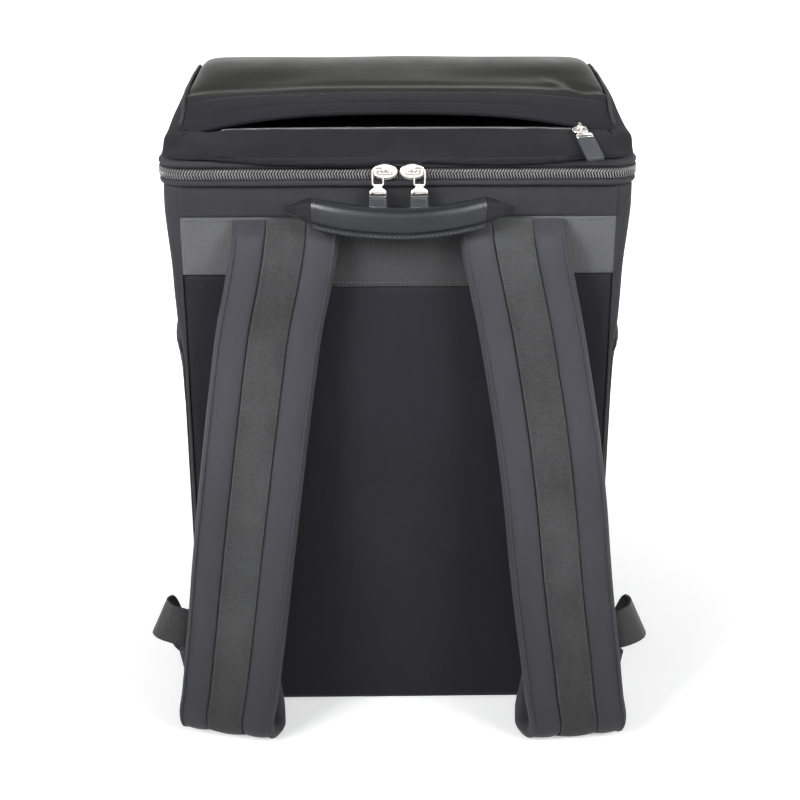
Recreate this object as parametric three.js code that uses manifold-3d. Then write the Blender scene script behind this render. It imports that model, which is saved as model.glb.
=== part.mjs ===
// Cooler backpack: an insulated tub with a zipped, loaf-shaped lid, a grab handle
// and two padded shoulder straps.
// Millimetres, +Z up. X runs across the back, the straps are on the -Y side,
// and z = 0 is the floor it stands on.
import * as THREE from "three";
import { mergeVertices } from "three/addons/utils/BufferGeometryUtils.js";
import Module from "manifold-3d";

const wasm = await Module();
wasm.setup();

// Fits
const GAP = 0.3; // between neighbouring pieces
const SWING_CLEARANCE = 0.5; // round a puller's ring

// Tub
const TUB_HEIGHT = 384.5; // floor to the zip
const TUB_HALF_WIDTH = 151; // at the zip
const BAG_DEPTH = 176; // back panel to front
const TUB_WALL = 7; // padded and insulated
const TUB_FLOOR = 8;
const BASE_ROUND = 6;
const TUB_FRONT_CORNER = 20;
const TUB_INNER_CORNER = 12;

// Panels sewn on the back
const PANEL = 3;
const SIDE_SEAM_INSET = 11; // inside the tub's half width
const PANEL_HALF_WIDTH = TUB_HALF_WIDTH - SIDE_SEAM_INSET; // seam to seam
const YOKE_HEIGHT = 20.5;
const BAND_HEIGHT = 38;
const BACK_CROWN = 2.5;

// Side pockets
const POCKET_CLOTH = 2;
const POCKET_TOP = 276;
const POCKET_FOOT = 9;
const POCKET_HEM_HEIGHT = 7;
const POCKET_HEM = 3;
const POCKET_STAND_OFF = 7; // how far the open mouth stands out
const POCKET_BACK_INSET = 9;
const POCKET_FRONT_INSET = 26;

// Zip round three sides of the rim
const RIM_HALF_WIDTH = 153;
const RIM_BACK = 4.5; // stands out behind the back panel
const RIM_CORNER = 20;
const RIM_FRONT_GAP_HALF = 134; // the zip ends here on the front
const ZIP_DEPTH = 6.7;
const LOWER_TAPE_HEIGHT = 4;
const CHAIN_HEIGHT = 7.2;
const CHAIN_PROUD = 0.8;
const UPPER_TAPE_HEIGHT = 4.4;

// Lid
const CLOTH = 2.5;
const LID_HEIGHT = 43.1; // upper tape to crest
const LID_TOP_HALF_WIDTH = 134.5;
const LID_DROOP = 6.5; // how far the top falls towards its sides
const LID_SIDE_INSET = 2; // lid foot inside the rim's outline
const LINER_DROP = 1.3; // pad's top below the lid's foot
const LIP_HEM = 5; // rolled edge of the pocket flap
const TOP_CORNER = 9; // plan rounding of the lid's upper corners

// Pocket zip inside the lid's mouth
const POCKET_ZIP_CLOTH = 1.2;
const POCKET_ZIP_REACH = 6;
const POCKET_ZIP_FALL = 2.4;
const POCKET_ZIP_SHARE = 0.82; // of the mouth's half width
const POCKET_SLIDER_INSET = 16; // inside the start of the rim's corner
const POCKET_SLIDER_X = RIM_HALF_WIDTH - RIM_CORNER - POCKET_SLIDER_INSET;
const POCKET_BRIDGE_LENGTH = 7.5;
const POCKET_SLIDER_BACK = 21.5; // forward of the back panel
const POCKET_PULL_LEAN = 9.5; // degrees

// Zip hardware
const SLIDER_LENGTH = 16.5;
const SLIDER_WIDTH = 10.6;
const SLIDER_PLATE = 2;
const SLIDER_SPREAD = 17.6; // between the two main sliders' centres
const SLIDER_RISE = 2; // above the middle of the zip
const BRIDGE = 2.2; // wire of the bridge
const RING_WIRE = 1.4;
const RING_WIDTH = 8.2;
const RING_DROP = 11.7;
const CLAMP_WIDTH = 11;
const CLAMP_HEIGHT = 8.3;
const CLAMP_BAND = 3.8; // its full-width lower part
const CLAMP_SHOULDER = 2.5;
const CLAMP_THICKNESS = 2;
const TAB_LENGTH = 22;
const TAB_THICKNESS = 2.6;
const POCKET_RING_DROP = 7;
const POCKET_TAB_LENGTH = 24;
const PULLER_SWING = 16; // degrees, until the tab meets the handle

// Grab handle
const GRIP_HALF_LENGTH = 55;
const GRIP_HEIGHT = 17;
const GRIP_THICKNESS = 10.5;
const GRIP_FLANGE = 3;
const GRIP_STAND_OFF = 30; // its middle from the back panel
const GRIP_BOW = 10;
const GRIP_SAG = 4.5;
const GRIP_DROP = 15.7; // its middle below the tub's top
const GRIP_LEVEL = TUB_HEIGHT - GRIP_DROP;
const WEB_TIP = 73; // where the handle's ends are sewn in

// Shoulder straps
const STRAP_WIDTH = 69;
const STRAP_THICKNESS = 12.5;
const STRAP_ROOT = 3; // thickness where it is sewn under the yoke
const STRAP_CURL_THICKNESS = 9.5;
const STRAP_CURL_RADIUS = 14.5;
const STRAP_LOWEST = 2; // curl above the floor
const STRAP_REAR_RISE = 42; // ply that turns back up behind
const RIB_RISE = 1;
const WEBBING_WIDTH = 25;
const WEBBING = 1.6;
const LOCK_WIDTH = 32;
const LOCK_HEIGHT = 16;
const LOCK_THICKNESS = 5;

const BACK_Y = -BAG_DEPTH / 2;
const FRONT_Y = BAG_DEPTH / 2;
const LOWER_TAPE_Z = TUB_HEIGHT + GAP;
const CHAIN_Z = LOWER_TAPE_Z + LOWER_TAPE_HEIGHT + GAP;
const UPPER_TAPE_Z = CHAIN_Z + CHAIN_HEIGHT + GAP;
const LID_Z = UPPER_TAPE_Z + UPPER_TAPE_HEIGHT + 4 * GAP; // its sheets' slanted edges stand on the tape

const FINISHES = {
  charcoalCloth: { color: 0x2e2e33, roughness: 0.78, metalness: 0 },
  backCloth: { color: 0x2a2a30, roughness: 0.85, metalness: 0 },
  sleekHide: { color: 0x4a4a47, roughness: 0.5, metalness: 0 },
  handleHide: { color: 0x3c3d42, roughness: 0.55, metalness: 0 },
  padCloth: { color: 0x46464d, roughness: 0.8, metalness: 0 },
  webbing: { color: 0x4b4c4d, roughness: 0.9, metalness: 0 },
  zipCoil: { color: 0x303033, roughness: 0.45, metalness: 0 },
  liner: { color: 0x8b8e92, roughness: 0.6, metalness: 0 },
  nickel: { color: 0xd8d2cc, roughness: 0.2, metalness: 1 },
  rubber: { color: 0x4b4d52, roughness: 0.7, metalness: 0 },
  buckle: { color: 0x26262a, roughness: 0.6, metalness: 0 },
};

const bag = new THREE.Group();

function add(name, geometry, finish, frame) {
  const mesh = new THREE.Mesh(geometry, new THREE.MeshStandardMaterial(FINISHES[finish]));
  mesh.name = name;
  if (frame) mesh.applyMatrix4(frame);
  bag.add(mesh);
}

// Small maths
const lerp = THREE.MathUtils.lerp;
const clamp = THREE.MathUtils.clamp;
const smooth = (x, from, to) => THREE.MathUtils.smoothstep(x, from, to);
const vec = (x, y, z) => new THREE.Vector3(x, y, z);

// Reads column `key` of a table at `value` of its column `by`, with straight stretches between rows.
function lookUp(table, by, key, value) {
  if (value <= table[0][by]) return table[0][key];
  for (let i = 1; i < table.length; i++) {
    const before = table[i - 1];
    const after = table[i];
    if (value > after[by]) continue;
    return lerp(before[key], after[key], (value - before[by]) / (after[by] - before[by]));
  }
  return table[table.length - 1][key];
}

// Solids
function indexedGeometry(points, faces) {
  const volume = faces.reduce((sum, [a, b, c]) => {
    return sum + points[a].dot(points[b].clone().cross(points[c]));
  }, 0);
  const outward = volume < 0 ? faces.map(([a, b, c]) => [a, c, b]) : faces;
  const geometry = new THREE.BufferGeometry().setFromPoints(points);
  geometry.setIndex(outward.flat());
  geometry.computeVertexNormals();
  return geometry;
}

// Triangles that close a flat ring, as numbers of its points.
function capOf(ring) {
  const normal = vec(0, 0, 0);
  ring.forEach((point, i) => normal.add(point.clone().cross(ring[(i + 1) % ring.length])));
  normal.normalize();
  const helper = Math.abs(normal.z) < 0.9 ? vec(0, 0, 1) : vec(1, 0, 0);
  const right = helper.cross(normal).normalize();
  const up = normal.clone().cross(right);
  const flat = ring.map((point) => new THREE.Vector2(point.dot(right), point.dot(up)));
  return THREE.ShapeUtils.triangulateShape(flat, []);
}

// A skin through rings with the same number of points, closed at both ends.
function loft(rings) {
  const count = rings[0].length;
  const points = rings.flat();
  const faces = [];
  for (let r = 0; r + 1 < rings.length; r++) {
    for (let i = 0; i < count; i++) {
      const a = r * count + i;
      const b = r * count + ((i + 1) % count);
      faces.push([a, b, b + count], [a, b + count, a + count]);
    }
  }
  const last = points.length - count;
  capOf(rings[0]).forEach(([a, b, c]) => faces.push([c, b, a]));
  capOf(rings.at(-1)).forEach(([a, b, c]) => faces.push([a + last, b + last, c + last]));
  return indexedGeometry(points, faces);
}

// A section of [across, out] pairs, placed on each frame of a path.
function sweep(frames, sectionAt) {
  return loft(frames.map((frame, i) => sectionAt(frame, i).map(([across, out]) => {
    return frame.origin.clone().addScaledVector(frame.across, across).addScaledVector(frame.out, out);
  })));
}

// A sheet that follows surface(u, v), thickened towards its inner side, with edges square to the sheet.
function sheet(surface, columns, rows, thicknessAt) {
  const step = 1e-3;
  const normalAt = (u, v) => {
    const [u0, u1] = [Math.max(u - step, 0), Math.min(u + step, 1)];
    const [v0, v1] = [Math.max(v - step, 0), Math.min(v + step, 1)];
    const alongU = surface(u1, v).sub(surface(u0, v));
    const alongV = surface(u, v1).sub(surface(u, v0));
    return alongU.cross(alongV).normalize();
  };
  const outer = [];
  const inner = [];
  for (let j = 0; j <= rows; j++) {
    for (let i = 0; i <= columns; i++) {
      const [u, v] = [i / columns, j / rows];
      const point = surface(u, v);
      outer.push(point);
      inner.push(point.clone().addScaledVector(normalAt(u, v), -thicknessAt(u, v)));
    }
  }
  const at = (i, j) => j * (columns + 1) + i;
  const faces = [];
  const quad = (a, b, c, d) => faces.push([a, b, c], [a, c, d]);
  const under = outer.length;
  for (let j = 0; j < rows; j++) {
    for (let i = 0; i < columns; i++) {
      const [a, b, c, d] = [at(i, j), at(i + 1, j), at(i + 1, j + 1), at(i, j + 1)];
      quad(a, b, c, d);
      quad(d + under, c + under, b + under, a + under);
    }
  }
  for (let i = 0; i < columns; i++) {
    quad(at(i + 1, 0), at(i, 0), at(i, 0) + under, at(i + 1, 0) + under);
    quad(at(i, rows), at(i + 1, rows), at(i + 1, rows) + under, at(i, rows) + under);
  }
  for (let j = 0; j < rows; j++) {
    quad(at(0, j), at(0, j + 1), at(0, j + 1) + under, at(0, j) + under);
    quad(at(columns, j + 1), at(columns, j), at(columns, j) + under, at(columns, j + 1) + under);
  }
  return indexedGeometry([...outer, ...inner], faces);
}

// The same solid on the other side of the bag.
function mirrored(geometry) {
  const copy = geometry.clone();
  const position = copy.attributes.position;
  for (let i = 0; i < position.count; i++) position.setX(i, -position.getX(i));
  const index = copy.index.array;
  for (let i = 0; i < index.length; i += 3) [index[i + 1], index[i + 2]] = [index[i + 2], index[i + 1]];
  copy.computeVertexNormals();
  return copy;
}

function addPair(name, rightGeometry, finish) {
  add(name + "_right", rightGeometry, finish);
  add(name + "_left", mirrored(rightGeometry), finish);
}

function toManifold(geometry) {
  const bare = geometry.clone();
  bare.deleteAttribute("normal");
  bare.deleteAttribute("uv");
  const merged = mergeVertices(bare, 1e-4);
  return new wasm.Manifold(new wasm.Mesh({
    numProp: 3,
    vertProperties: new Float32Array(merged.attributes.position.array),
    triVerts: new Uint32Array(merged.index.array),
  }));
}

function fuse(...geometries) {
  const solid = geometries.map(toManifold).reduce((sum, next) => sum.add(next));
  const { vertProperties, triVerts } = solid.getMesh();
  const geometry = new THREE.BufferGeometry();
  geometry.setAttribute("position", new THREE.BufferAttribute(new Float32Array(vertProperties), 3));
  geometry.setIndex([...triVerts]);
  geometry.computeVertexNormals();
  return geometry;
}

function block(width, height, depth, x, y, z) {
  return new THREE.BoxGeometry(width, height, depth).translate(x, y, z);
}

// Outlines in plan
function arc(centreX, centreY, radius, fromDegrees, toDegrees, steps) {
  return Array.from({ length: steps + 1 }, (_, i) => {
    const angle = THREE.MathUtils.degToRad(lerp(fromDegrees, toDegrees, i / steps));
    return [centreX + radius * Math.cos(angle), centreY + radius * Math.sin(angle)];
  });
}

// Half of an outline on the +X side, from the back to the front, then the same mirrored.
function bothSides(half) {
  const otherSide = half.map(([x, y]) => [-x, y]).reverse();
  return [...half, ...otherSide];
}

// Tub
const TUB_SECTIONS = [
  { height: 0.0, width: 0.944 },
  { height: 0.45, width: 0.944 },
  { height: 0.7, width: 0.944 },
  { height: 0.75, width: 0.968 },
  { height: 0.86, width: 0.976 },
  { height: 0.96, width: 1.0 },
  { height: 1.0, width: 1.0 },
];

function tubHalfWidth(z) {
  return lookUp(TUB_SECTIONS, "height", "width", z / TUB_HEIGHT) * TUB_HALF_WIDTH;
}

// Outside of the tub, with the recess that its back panels lie in.
function tubOutline(z, inset) {
  const half = tubHalfWidth(z) - inset;
  const seam = PANEL_HALF_WIDTH + GAP - inset;
  const back = BACK_Y + inset;
  const front = FRONT_Y - inset;
  const backCorner = half - seam;
  const frontCorner = TUB_FRONT_CORNER - inset;
  return bothSides([
    [seam, back + PANEL + GAP],
    ...arc(seam, back + backCorner, backCorner, -90, 0, 3),
    ...arc(half - frontCorner, front - frontCorner, frontCorner, 0, 90, 4),
  ]).map(([x, y]) => vec(x, y, z));
}

function tubInside(z) {
  const half = tubHalfWidth(Math.max(z, TUB_FLOOR)) - TUB_WALL;
  const back = BACK_Y + PANEL + GAP + TUB_WALL - PANEL;
  const front = FRONT_Y - TUB_WALL;
  const corner = TUB_INNER_CORNER;
  return bothSides([
    [half - 2 * corner, back],
    ...arc(half - corner, back + corner, corner, -90, 0, 3),
    ...arc(half - corner, front - corner, corner, 0, 90, 4),
  ]).map(([x, y]) => vec(x, y, z));
}

function buildTub() {
  const heights = TUB_SECTIONS.slice(1).map((row) => row.height * TUB_HEIGHT);
  const turnedUnder = [90, 60, 30, 0].map((degrees) => {
    const angle = THREE.MathUtils.degToRad(degrees);
    const inset = BASE_ROUND * (1 - Math.cos(angle));
    return tubOutline(BASE_ROUND * (1 - Math.sin(angle)), inset);
  });
  const outside = heights.map((z) => tubOutline(z, 0));
  const inside = [...heights.reverse(), TUB_FLOOR].map((z) => tubInside(z));
  add("body_shell", loft([...turnedUnder, ...outside, ...inside]), "charcoalCloth");
}

function buildBackPanels() {
  const yokeFoot = TUB_HEIGHT - YOKE_HEIGHT;
  const bandFoot = yokeFoot - BAND_HEIGHT;
  const crown = (u, v) => BACK_CROWN * Math.sin(Math.PI * u) * Math.sin(Math.PI * v);
  const flatSheet = (foot, top, rise) => (u, v) => {
    const x = lerp(-PANEL_HALF_WIDTH, PANEL_HALF_WIDTH, u);
    return vec(x, BACK_Y - rise(u, v), lerp(foot, top, v));
  };
  const level = () => 0;
  add(
    "back_panel",
    sheet(flatSheet(BASE_ROUND, bandFoot - GAP, crown), 10, 10, (u, v) => PANEL + crown(u, v)),
    "backCloth",
  );
  add("back_band", sheet(flatSheet(bandFoot, yokeFoot - GAP, level), 1, 1, () => PANEL), "webbing");
  add("yoke_panel", sheet(flatSheet(yokeFoot, TUB_HEIGHT, level), 1, 1, () => PANEL), "charcoalCloth");
}

// Side pockets: a flat sleeve whose mouth stands away from the tub.
function pocketSurface(foot, top, proud) {
  return (u, v) => {
    const z = lerp(foot, top, v);
    const openness = smooth(z / POCKET_TOP, 0.72, 1) * Math.sin(Math.PI * u) ** 0.7;
    const x = tubHalfWidth(z) + GAP + proud + POCKET_STAND_OFF * openness;
    return vec(x, lerp(BACK_Y + POCKET_BACK_INSET, FRONT_Y - POCKET_FRONT_INSET, u), z);
  };
}

function buildSidePockets() {
  const hemFoot = POCKET_TOP - POCKET_HEM_HEIGHT;
  const sleeve = pocketSurface(POCKET_FOOT, hemFoot - GAP, POCKET_CLOTH);
  const hem = pocketSurface(hemFoot, POCKET_TOP, POCKET_HEM);
  addPair("side_pocket", sheet(sleeve, 10, 8, () => POCKET_CLOTH), "charcoalCloth");
  addPair("side_pocket_hem", sheet(hem, 10, 1, () => POCKET_HEM), "charcoalCloth");
}

// Zip round the rim: frames along its outline, from the front left round the back to the front right.
function rimFrames() {
  const corner = RIM_CORNER;
  const half = RIM_HALF_WIDTH;
  const back = BACK_Y - RIM_BACK;
  const withNormals = (centreX, centreY, from, to) => {
    const onArc = arc(centreX, centreY, corner, from, to, 5);
    const normals = arc(0, 0, 1, from, to, 5);
    return onArc.map(([x, y], i) => ({
      origin: vec(x, y, 0),
      across: vec(normals[i][0], normals[i][1], 0),
      out: vec(0, 0, 1),
    }));
  };
  const ahead = (x) => ({ origin: vec(x, FRONT_Y, 0), across: vec(0, 1, 0), out: vec(0, 0, 1) });
  const frontCentre = FRONT_Y - corner;
  const arcs = [
    ...withNormals(-half + corner, frontCentre, 90, 180),
    ...withNormals(-half + corner, back + corner, 180, 270),
    ...withNormals(half - corner, back + corner, 270, 360),
    ...withNormals(half - corner, frontCentre, 0, 90),
  ];
  const needsLead = RIM_FRONT_GAP_HALF < half - corner;
  return needsLead ? [ahead(-RIM_FRONT_GAP_HALF), ...arcs, ahead(RIM_FRONT_GAP_HALF)] : arcs;
}

function rimBand(foot, height, proud) {
  const bevel = Math.min(1, height / 4);
  const section = [
    [-ZIP_DEPTH, foot],
    [proud - bevel, foot],
    [proud, foot + bevel],
    [proud, foot + height - bevel],
    [proud - bevel, foot + height],
    [-ZIP_DEPTH, foot + height],
  ];
  return sweep(rimFrames(), () => section);
}

function buildRimZip() {
  add("zip_tape_lower", rimBand(LOWER_TAPE_Z, LOWER_TAPE_HEIGHT, 0), "charcoalCloth");
  add("zip_chain", rimBand(CHAIN_Z, CHAIN_HEIGHT, CHAIN_PROUD), "zipCoil");
  add("zip_tape_upper", rimBand(UPPER_TAPE_Z, UPPER_TAPE_HEIGHT, 0), "charcoalCloth");
}

// Lid profile in the middle of the bag: back as a share of its depth, rise as a share of the lid's height.
const LOWER_PROFILE = [
  { back: -0.023, rise: 0.0 },
  { back: -0.028, rise: 0.028 },
  { back: -0.012, rise: 0.072 },
  { back: 0.034, rise: 0.153 },
  { back: 0.085, rise: 0.239 },
  { back: 0.136, rise: 0.32 },
];
const LIP_END = { back: 0.145, rise: 0.35 };
const LIP_MIDDLE = { back: 0.216, rise: 0.561 };
const CREASE = { back: 0.33, rise: 0.726 };
const TOP_PROFILE = [
  { back: 0.333, rise: 0.73 },
  { back: 0.426, rise: 0.85 },
  { back: 0.54, rise: 0.955 },
  { back: 0.625, rise: 1.0 },
  { back: 0.727, rise: 0.995 },
  { back: 0.824, rise: 0.94 },
  { back: 0.898, rise: 0.82 },
  { back: 0.943, rise: 0.66 },
];
const FRONT_PROFILE = [
  { back: 0.947, rise: 0.635 },
  { back: 0.972, rise: 0.45 },
  { back: 0.986, rise: 0.22 },
  { back: 1.0, rise: 0.0 },
];

function lidRise(z) {
  return clamp((z - LID_Z) / LID_HEIGHT, 0, 1);
}

function lidDroop(side, rise) {
  return LID_DROOP * Math.abs(side) ** 4 * clamp(rise, 0, 1);
}

// A profile row as a place: forward of the back panel, and height at a share `side` of the half width.
function lidPlace(row, side) {
  return {
    forward: row.back * BAG_DEPTH,
    z: LID_Z + row.rise * LID_HEIGHT - lidDroop(side, row.rise),
  };
}

// Reads a profile at share v of its rows.
function alongProfile(profile, v, side) {
  const steps = v * (profile.length - 1);
  const i = Math.min(Math.floor(steps), profile.length - 2);
  const row = {
    back: lerp(profile[i].back, profile[i + 1].back, steps - i),
    rise: lerp(profile[i].rise, profile[i + 1].rise, steps - i),
  };
  return lidPlace(row, side);
}

const lowerEdges = LOWER_PROFILE.map((row) => lidPlace(row, 1));
const frontEdges = FRONT_PROFILE.map((row) => lidPlace(row, 1)).reverse();
const TOP_ROWS = [LOWER_PROFILE.at(-1), LIP_END, CREASE, ...TOP_PROFILE, FRONT_PROFILE[0]];
const topEdges = TOP_ROWS.map((row) => lidPlace(row, 1));
const mouthEdge = lowerEdges.at(-1);
const frontEdge = frontEdges.at(-1);

function lidSide(z) {
  const foot = RIM_HALF_WIDTH - LID_SIDE_INSET;
  return lerp(foot, LID_TOP_HALF_WIDTH, lidRise(z));
}

function lidCorner(z, edgeZ) {
  return lerp(RIM_CORNER - LID_SIDE_INSET, TOP_CORNER, clamp((z - LID_Z) / (edgeZ - LID_Z), 0, 1));
}

// Half width of the lid's outside at a height, a distance forward of the back panel.
function lidHalfWidth(forward, z) {
  const backCorner = lidCorner(z, mouthEdge.z);
  const frontCorner = lidCorner(z, frontEdge.z);
  const fromBack = forward - lookUp(lowerEdges, "z", "forward", z);
  const fromFront = lookUp(frontEdges, "z", "forward", z) - forward;
  const rounding = (distance, radius) => {
    const reach = clamp(1 - distance / radius, 0, 1);
    return radius * (1 - Math.sqrt(1 - reach * reach));
  };
  return lidSide(z) - Math.max(rounding(fromBack, backCorner), rounding(fromFront, frontCorner));
}

function lidPoint(side, half, place) {
  return vec(side * half, BACK_Y + place.forward, place.z);
}

// A strip of the lid between its gussets, which follows placeAt(v, side).
function lidStrip(placeAt) {
  return (u, v) => {
    const side = lerp(-1, 1, u);
    const edge = placeAt(v, 1);
    const half = lidHalfWidth(edge.forward, edge.z) - CLOTH - 2 * GAP;
    return lidPoint(side, half, placeAt(v, side));
  };
}

function buildLidPad() {
  const inset = ZIP_DEPTH + GAP;
  const half = RIM_HALF_WIDTH - inset;
  const back = BACK_Y - RIM_BACK + inset;
  const front = FRONT_Y - inset;
  const corner = RIM_CORNER - inset;
  const outline = (z) => bothSides([
    ...arc(half - corner, back + corner, corner, -90, 0, 4),
    ...arc(half - corner, front - corner, corner, 0, 90, 4),
  ]).map(([x, y]) => vec(x, y, z));
  add("lid_liner", loft([outline(LOWER_TAPE_Z), outline(LID_Z - LINER_DROP)]), "liner");
}

function buildLidBackAndFront() {
  const back = (u, v) => {
    const side = lerp(-1, 1, u);
    const edge = alongProfile(LOWER_PROFILE, v, 1);
    const half = lidSide(edge.z) - lidCorner(edge.z, mouthEdge.z) - GAP;
    return lidPoint(side, half, alongProfile(LOWER_PROFILE, v, side));
  };
  add("lid_back_panel", sheet(back, 12, 10, () => CLOTH), "charcoalCloth");

  const hingeFoot = { forward: BAG_DEPTH, z: LOWER_TAPE_Z };
  const front = (u, v) => {
    const side = lerp(-1, 1, u);
    const upper = Math.min(v / 0.75, 1);
    const lower = Math.max((v - 0.75) / 0.25, 0);
    const onLid = alongProfile(FRONT_PROFILE, upper, side);
    const place = { forward: onLid.forward, z: lerp(onLid.z, hingeFoot.z, lower) };
    const edge = alongProfile(FRONT_PROFILE, upper, 1);
    const half = lidSide(edge.z) - lidCorner(edge.z, frontEdge.z) - 2 * GAP;
    return lidPoint(side, half, place);
  };
  add("lid_front_panel", sheet(front, 8, 8, () => CLOTH), "charcoalCloth");
}

// Pocket flap: its rolled lip arches up over the open mouth, and closes at both ends.
function lipPlace(side) {
  const open = 1 - Math.abs(side) ** 2.6;
  return {
    back: lerp(LIP_END.back, LIP_MIDDLE.back, open),
    rise: lerp(LIP_END.rise, LIP_MIDDLE.rise, open),
  };
}

function flapPlace(v, side) {
  const lip = lipPlace(side);
  const bulge = 0.02 * Math.sin(Math.PI * v);
  const row = {
    back: lerp(lip.back, CREASE.back, v),
    rise: lerp(lip.rise, CREASE.rise, v) + bulge,
  };
  return lidPlace(row, side);
}

function buildLidTop() {
  const hem = (u, v) => lerp(LIP_HEM, CLOTH, smooth(v, 0, 0.35));
  add("lid_flap", sheet(lidStrip(flapPlace), 16, 5, hem), "charcoalCloth");
  const top = (v, side) => alongProfile(TOP_PROFILE, v, side);
  add("lid_top_panel", sheet(lidStrip(top), 14, 14, () => CLOTH), "sleekHide");
}

// Side gusset, round the lid's back corner, along its side and round its front corner.
function gussetSurface(u, v) {
  const cornerShare = 0.2;
  const intoBack = clamp(1 - u / cornerShare, 0, 1);
  const intoFront = clamp(1 - (1 - u) / cornerShare, 0, 1);
  const along = clamp((u - cornerShare) / (1 - 2 * cornerShare), 0, 1);
  const placeAt = (z) => {
    const backCorner = lidCorner(z, mouthEdge.z);
    const frontCorner = lidCorner(z, frontEdge.z);
    const backStart = lookUp(lowerEdges, "z", "forward", z);
    const frontEnd = lookUp(frontEdges, "z", "forward", z);
    const straight = lerp(backStart + backCorner, frontEnd - frontCorner, along);
    const backTurn = Math.sin((Math.PI / 2) * intoBack);
    const frontTurn = Math.sin((Math.PI / 2) * intoFront);
    return straight - backCorner * backTurn + frontCorner * frontTurn;
  };
  const top = lookUp(topEdges, "forward", "z", placeAt(Math.max(mouthEdge.z, LID_Z + LID_HEIGHT)));
  const z = lerp(LID_Z, Math.max(top, mouthEdge.z), v);
  const forward = placeAt(z);
  return vec(lidHalfWidth(forward, z), BACK_Y + forward, z);
}

function buildGussets() {
  addPair("lid_gusset", sheet(gussetSurface, 20, 5, () => CLOTH), "charcoalCloth");
}

function buildPocketZip() {
  const strip = (u, v) => {
    const side = lerp(-POCKET_ZIP_SHARE, POCKET_ZIP_SHARE, u);
    const mouth = lidPlace(LOWER_PROFILE.at(-1), side);
    const half = lidSide(mouth.z) - TOP_CORNER;
    const place = {
      forward: mouth.forward + 2 + POCKET_ZIP_REACH * v,
      z: mouth.z - 0.8 - POCKET_ZIP_FALL * v,
    };
    return lidPoint(side, half, place);
  };
  add("pocket_zip", sheet(strip, 10, 1, () => POCKET_ZIP_CLOTH), "zipCoil");
}

// Zip hardware, in a frame of its own: x along the zip, y up the surface, z out from it.
function extrude(shape, depth, z) {
  const options = { depth, bevelEnabled: false, curveSegments: 6 };
  return new THREE.ExtrudeGeometry(shape, options).translate(0, 0, z);
}

function ovalPlate(length, width, depth) {
  const oval = new THREE.Shape();
  oval.absellipse(0, 0, length / 2, width / 2, 0, 2 * Math.PI);
  return extrude(oval, depth, 0);
}

// Bridge over the slider, along x or y, tall enough for a ring's wire to turn under it.
function bridge(length, standOff, alongY) {
  const height = standOff + BRIDGE * 0.65;
  const bar = block(length, BRIDGE, BRIDGE * 0.65, 0, 0, standOff + BRIDGE * 0.325);
  const legs = [-1, 1].map((end) => {
    return block(BRIDGE, BRIDGE, height - GAP, (end * (length - BRIDGE)) / 2, 0, (height + GAP) / 2);
  });
  const whole = fuse(bar, ...legs);
  return alongY ? whole.rotateZ(Math.PI / 2) : whole;
}

// Ring and clamp of a puller. The origin is in the middle of the ring's upper bar.
function clampFoot(ringDrop) {
  return RING_WIRE * 1.5 - ringDrop - CLAMP_HEIGHT;
}

function pullerMetal(ringDrop) {
  const top = RING_WIRE / 2;
  const foot = top - ringDrop;
  const ring = new THREE.Shape();
  const half = RING_WIDTH / 2;
  ring.moveTo(-half, foot).lineTo(half, foot).lineTo(half, top - RING_WIRE);
  ring.lineTo(half - RING_WIRE, top).lineTo(-half + RING_WIRE, top).lineTo(-half, top - RING_WIRE);
  const hole = new THREE.Path();
  const inner = half - RING_WIRE;
  hole.moveTo(-inner, foot + RING_WIRE).lineTo(-inner, top - RING_WIRE);
  hole.lineTo(inner, top - RING_WIRE).lineTo(inner, foot + RING_WIRE);
  ring.holes.push(hole);
  const [low, wide, tongue] = [clampFoot(ringDrop), CLAMP_WIDTH / 2, inner - GAP];
  const shoulder = low + CLAMP_BAND;
  const neck = shoulder + CLAMP_SHOULDER;
  const high = foot + RING_WIRE + GAP;
  const jaw = new THREE.Shape();
  jaw.moveTo(-wide, low).lineTo(wide, low).lineTo(wide, shoulder).lineTo(tongue, neck).lineTo(tongue, high);
  jaw.lineTo(-tongue, high).lineTo(-tongue, neck).lineTo(-wide, shoulder);
  return fuse(
    extrude(ring, RING_WIRE, -RING_WIRE / 2),
    extrude(jaw, CLAMP_THICKNESS, -CLAMP_THICKNESS / 2),
  );
}

function pullerTab(ringDrop, length) {
  const half = CLAMP_WIDTH / 2;
  const top = clampFoot(ringDrop) - GAP;
  const foot = top - length;
  const outline = new THREE.Shape();
  outline.moveTo(-half + 1.5, foot).lineTo(half - 1.5, foot).lineTo(half, foot + 1.5).lineTo(half, top);
  outline.lineTo(-half, top).lineTo(-half, foot + 1.5);
  return extrude(outline, TAB_THICKNESS, -TAB_THICKNESS / 2);
}

function hardwareFrame(origin, across, up, out) {
  return new THREE.Matrix4().makeBasis(across, up, out).setPosition(origin);
}

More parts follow.
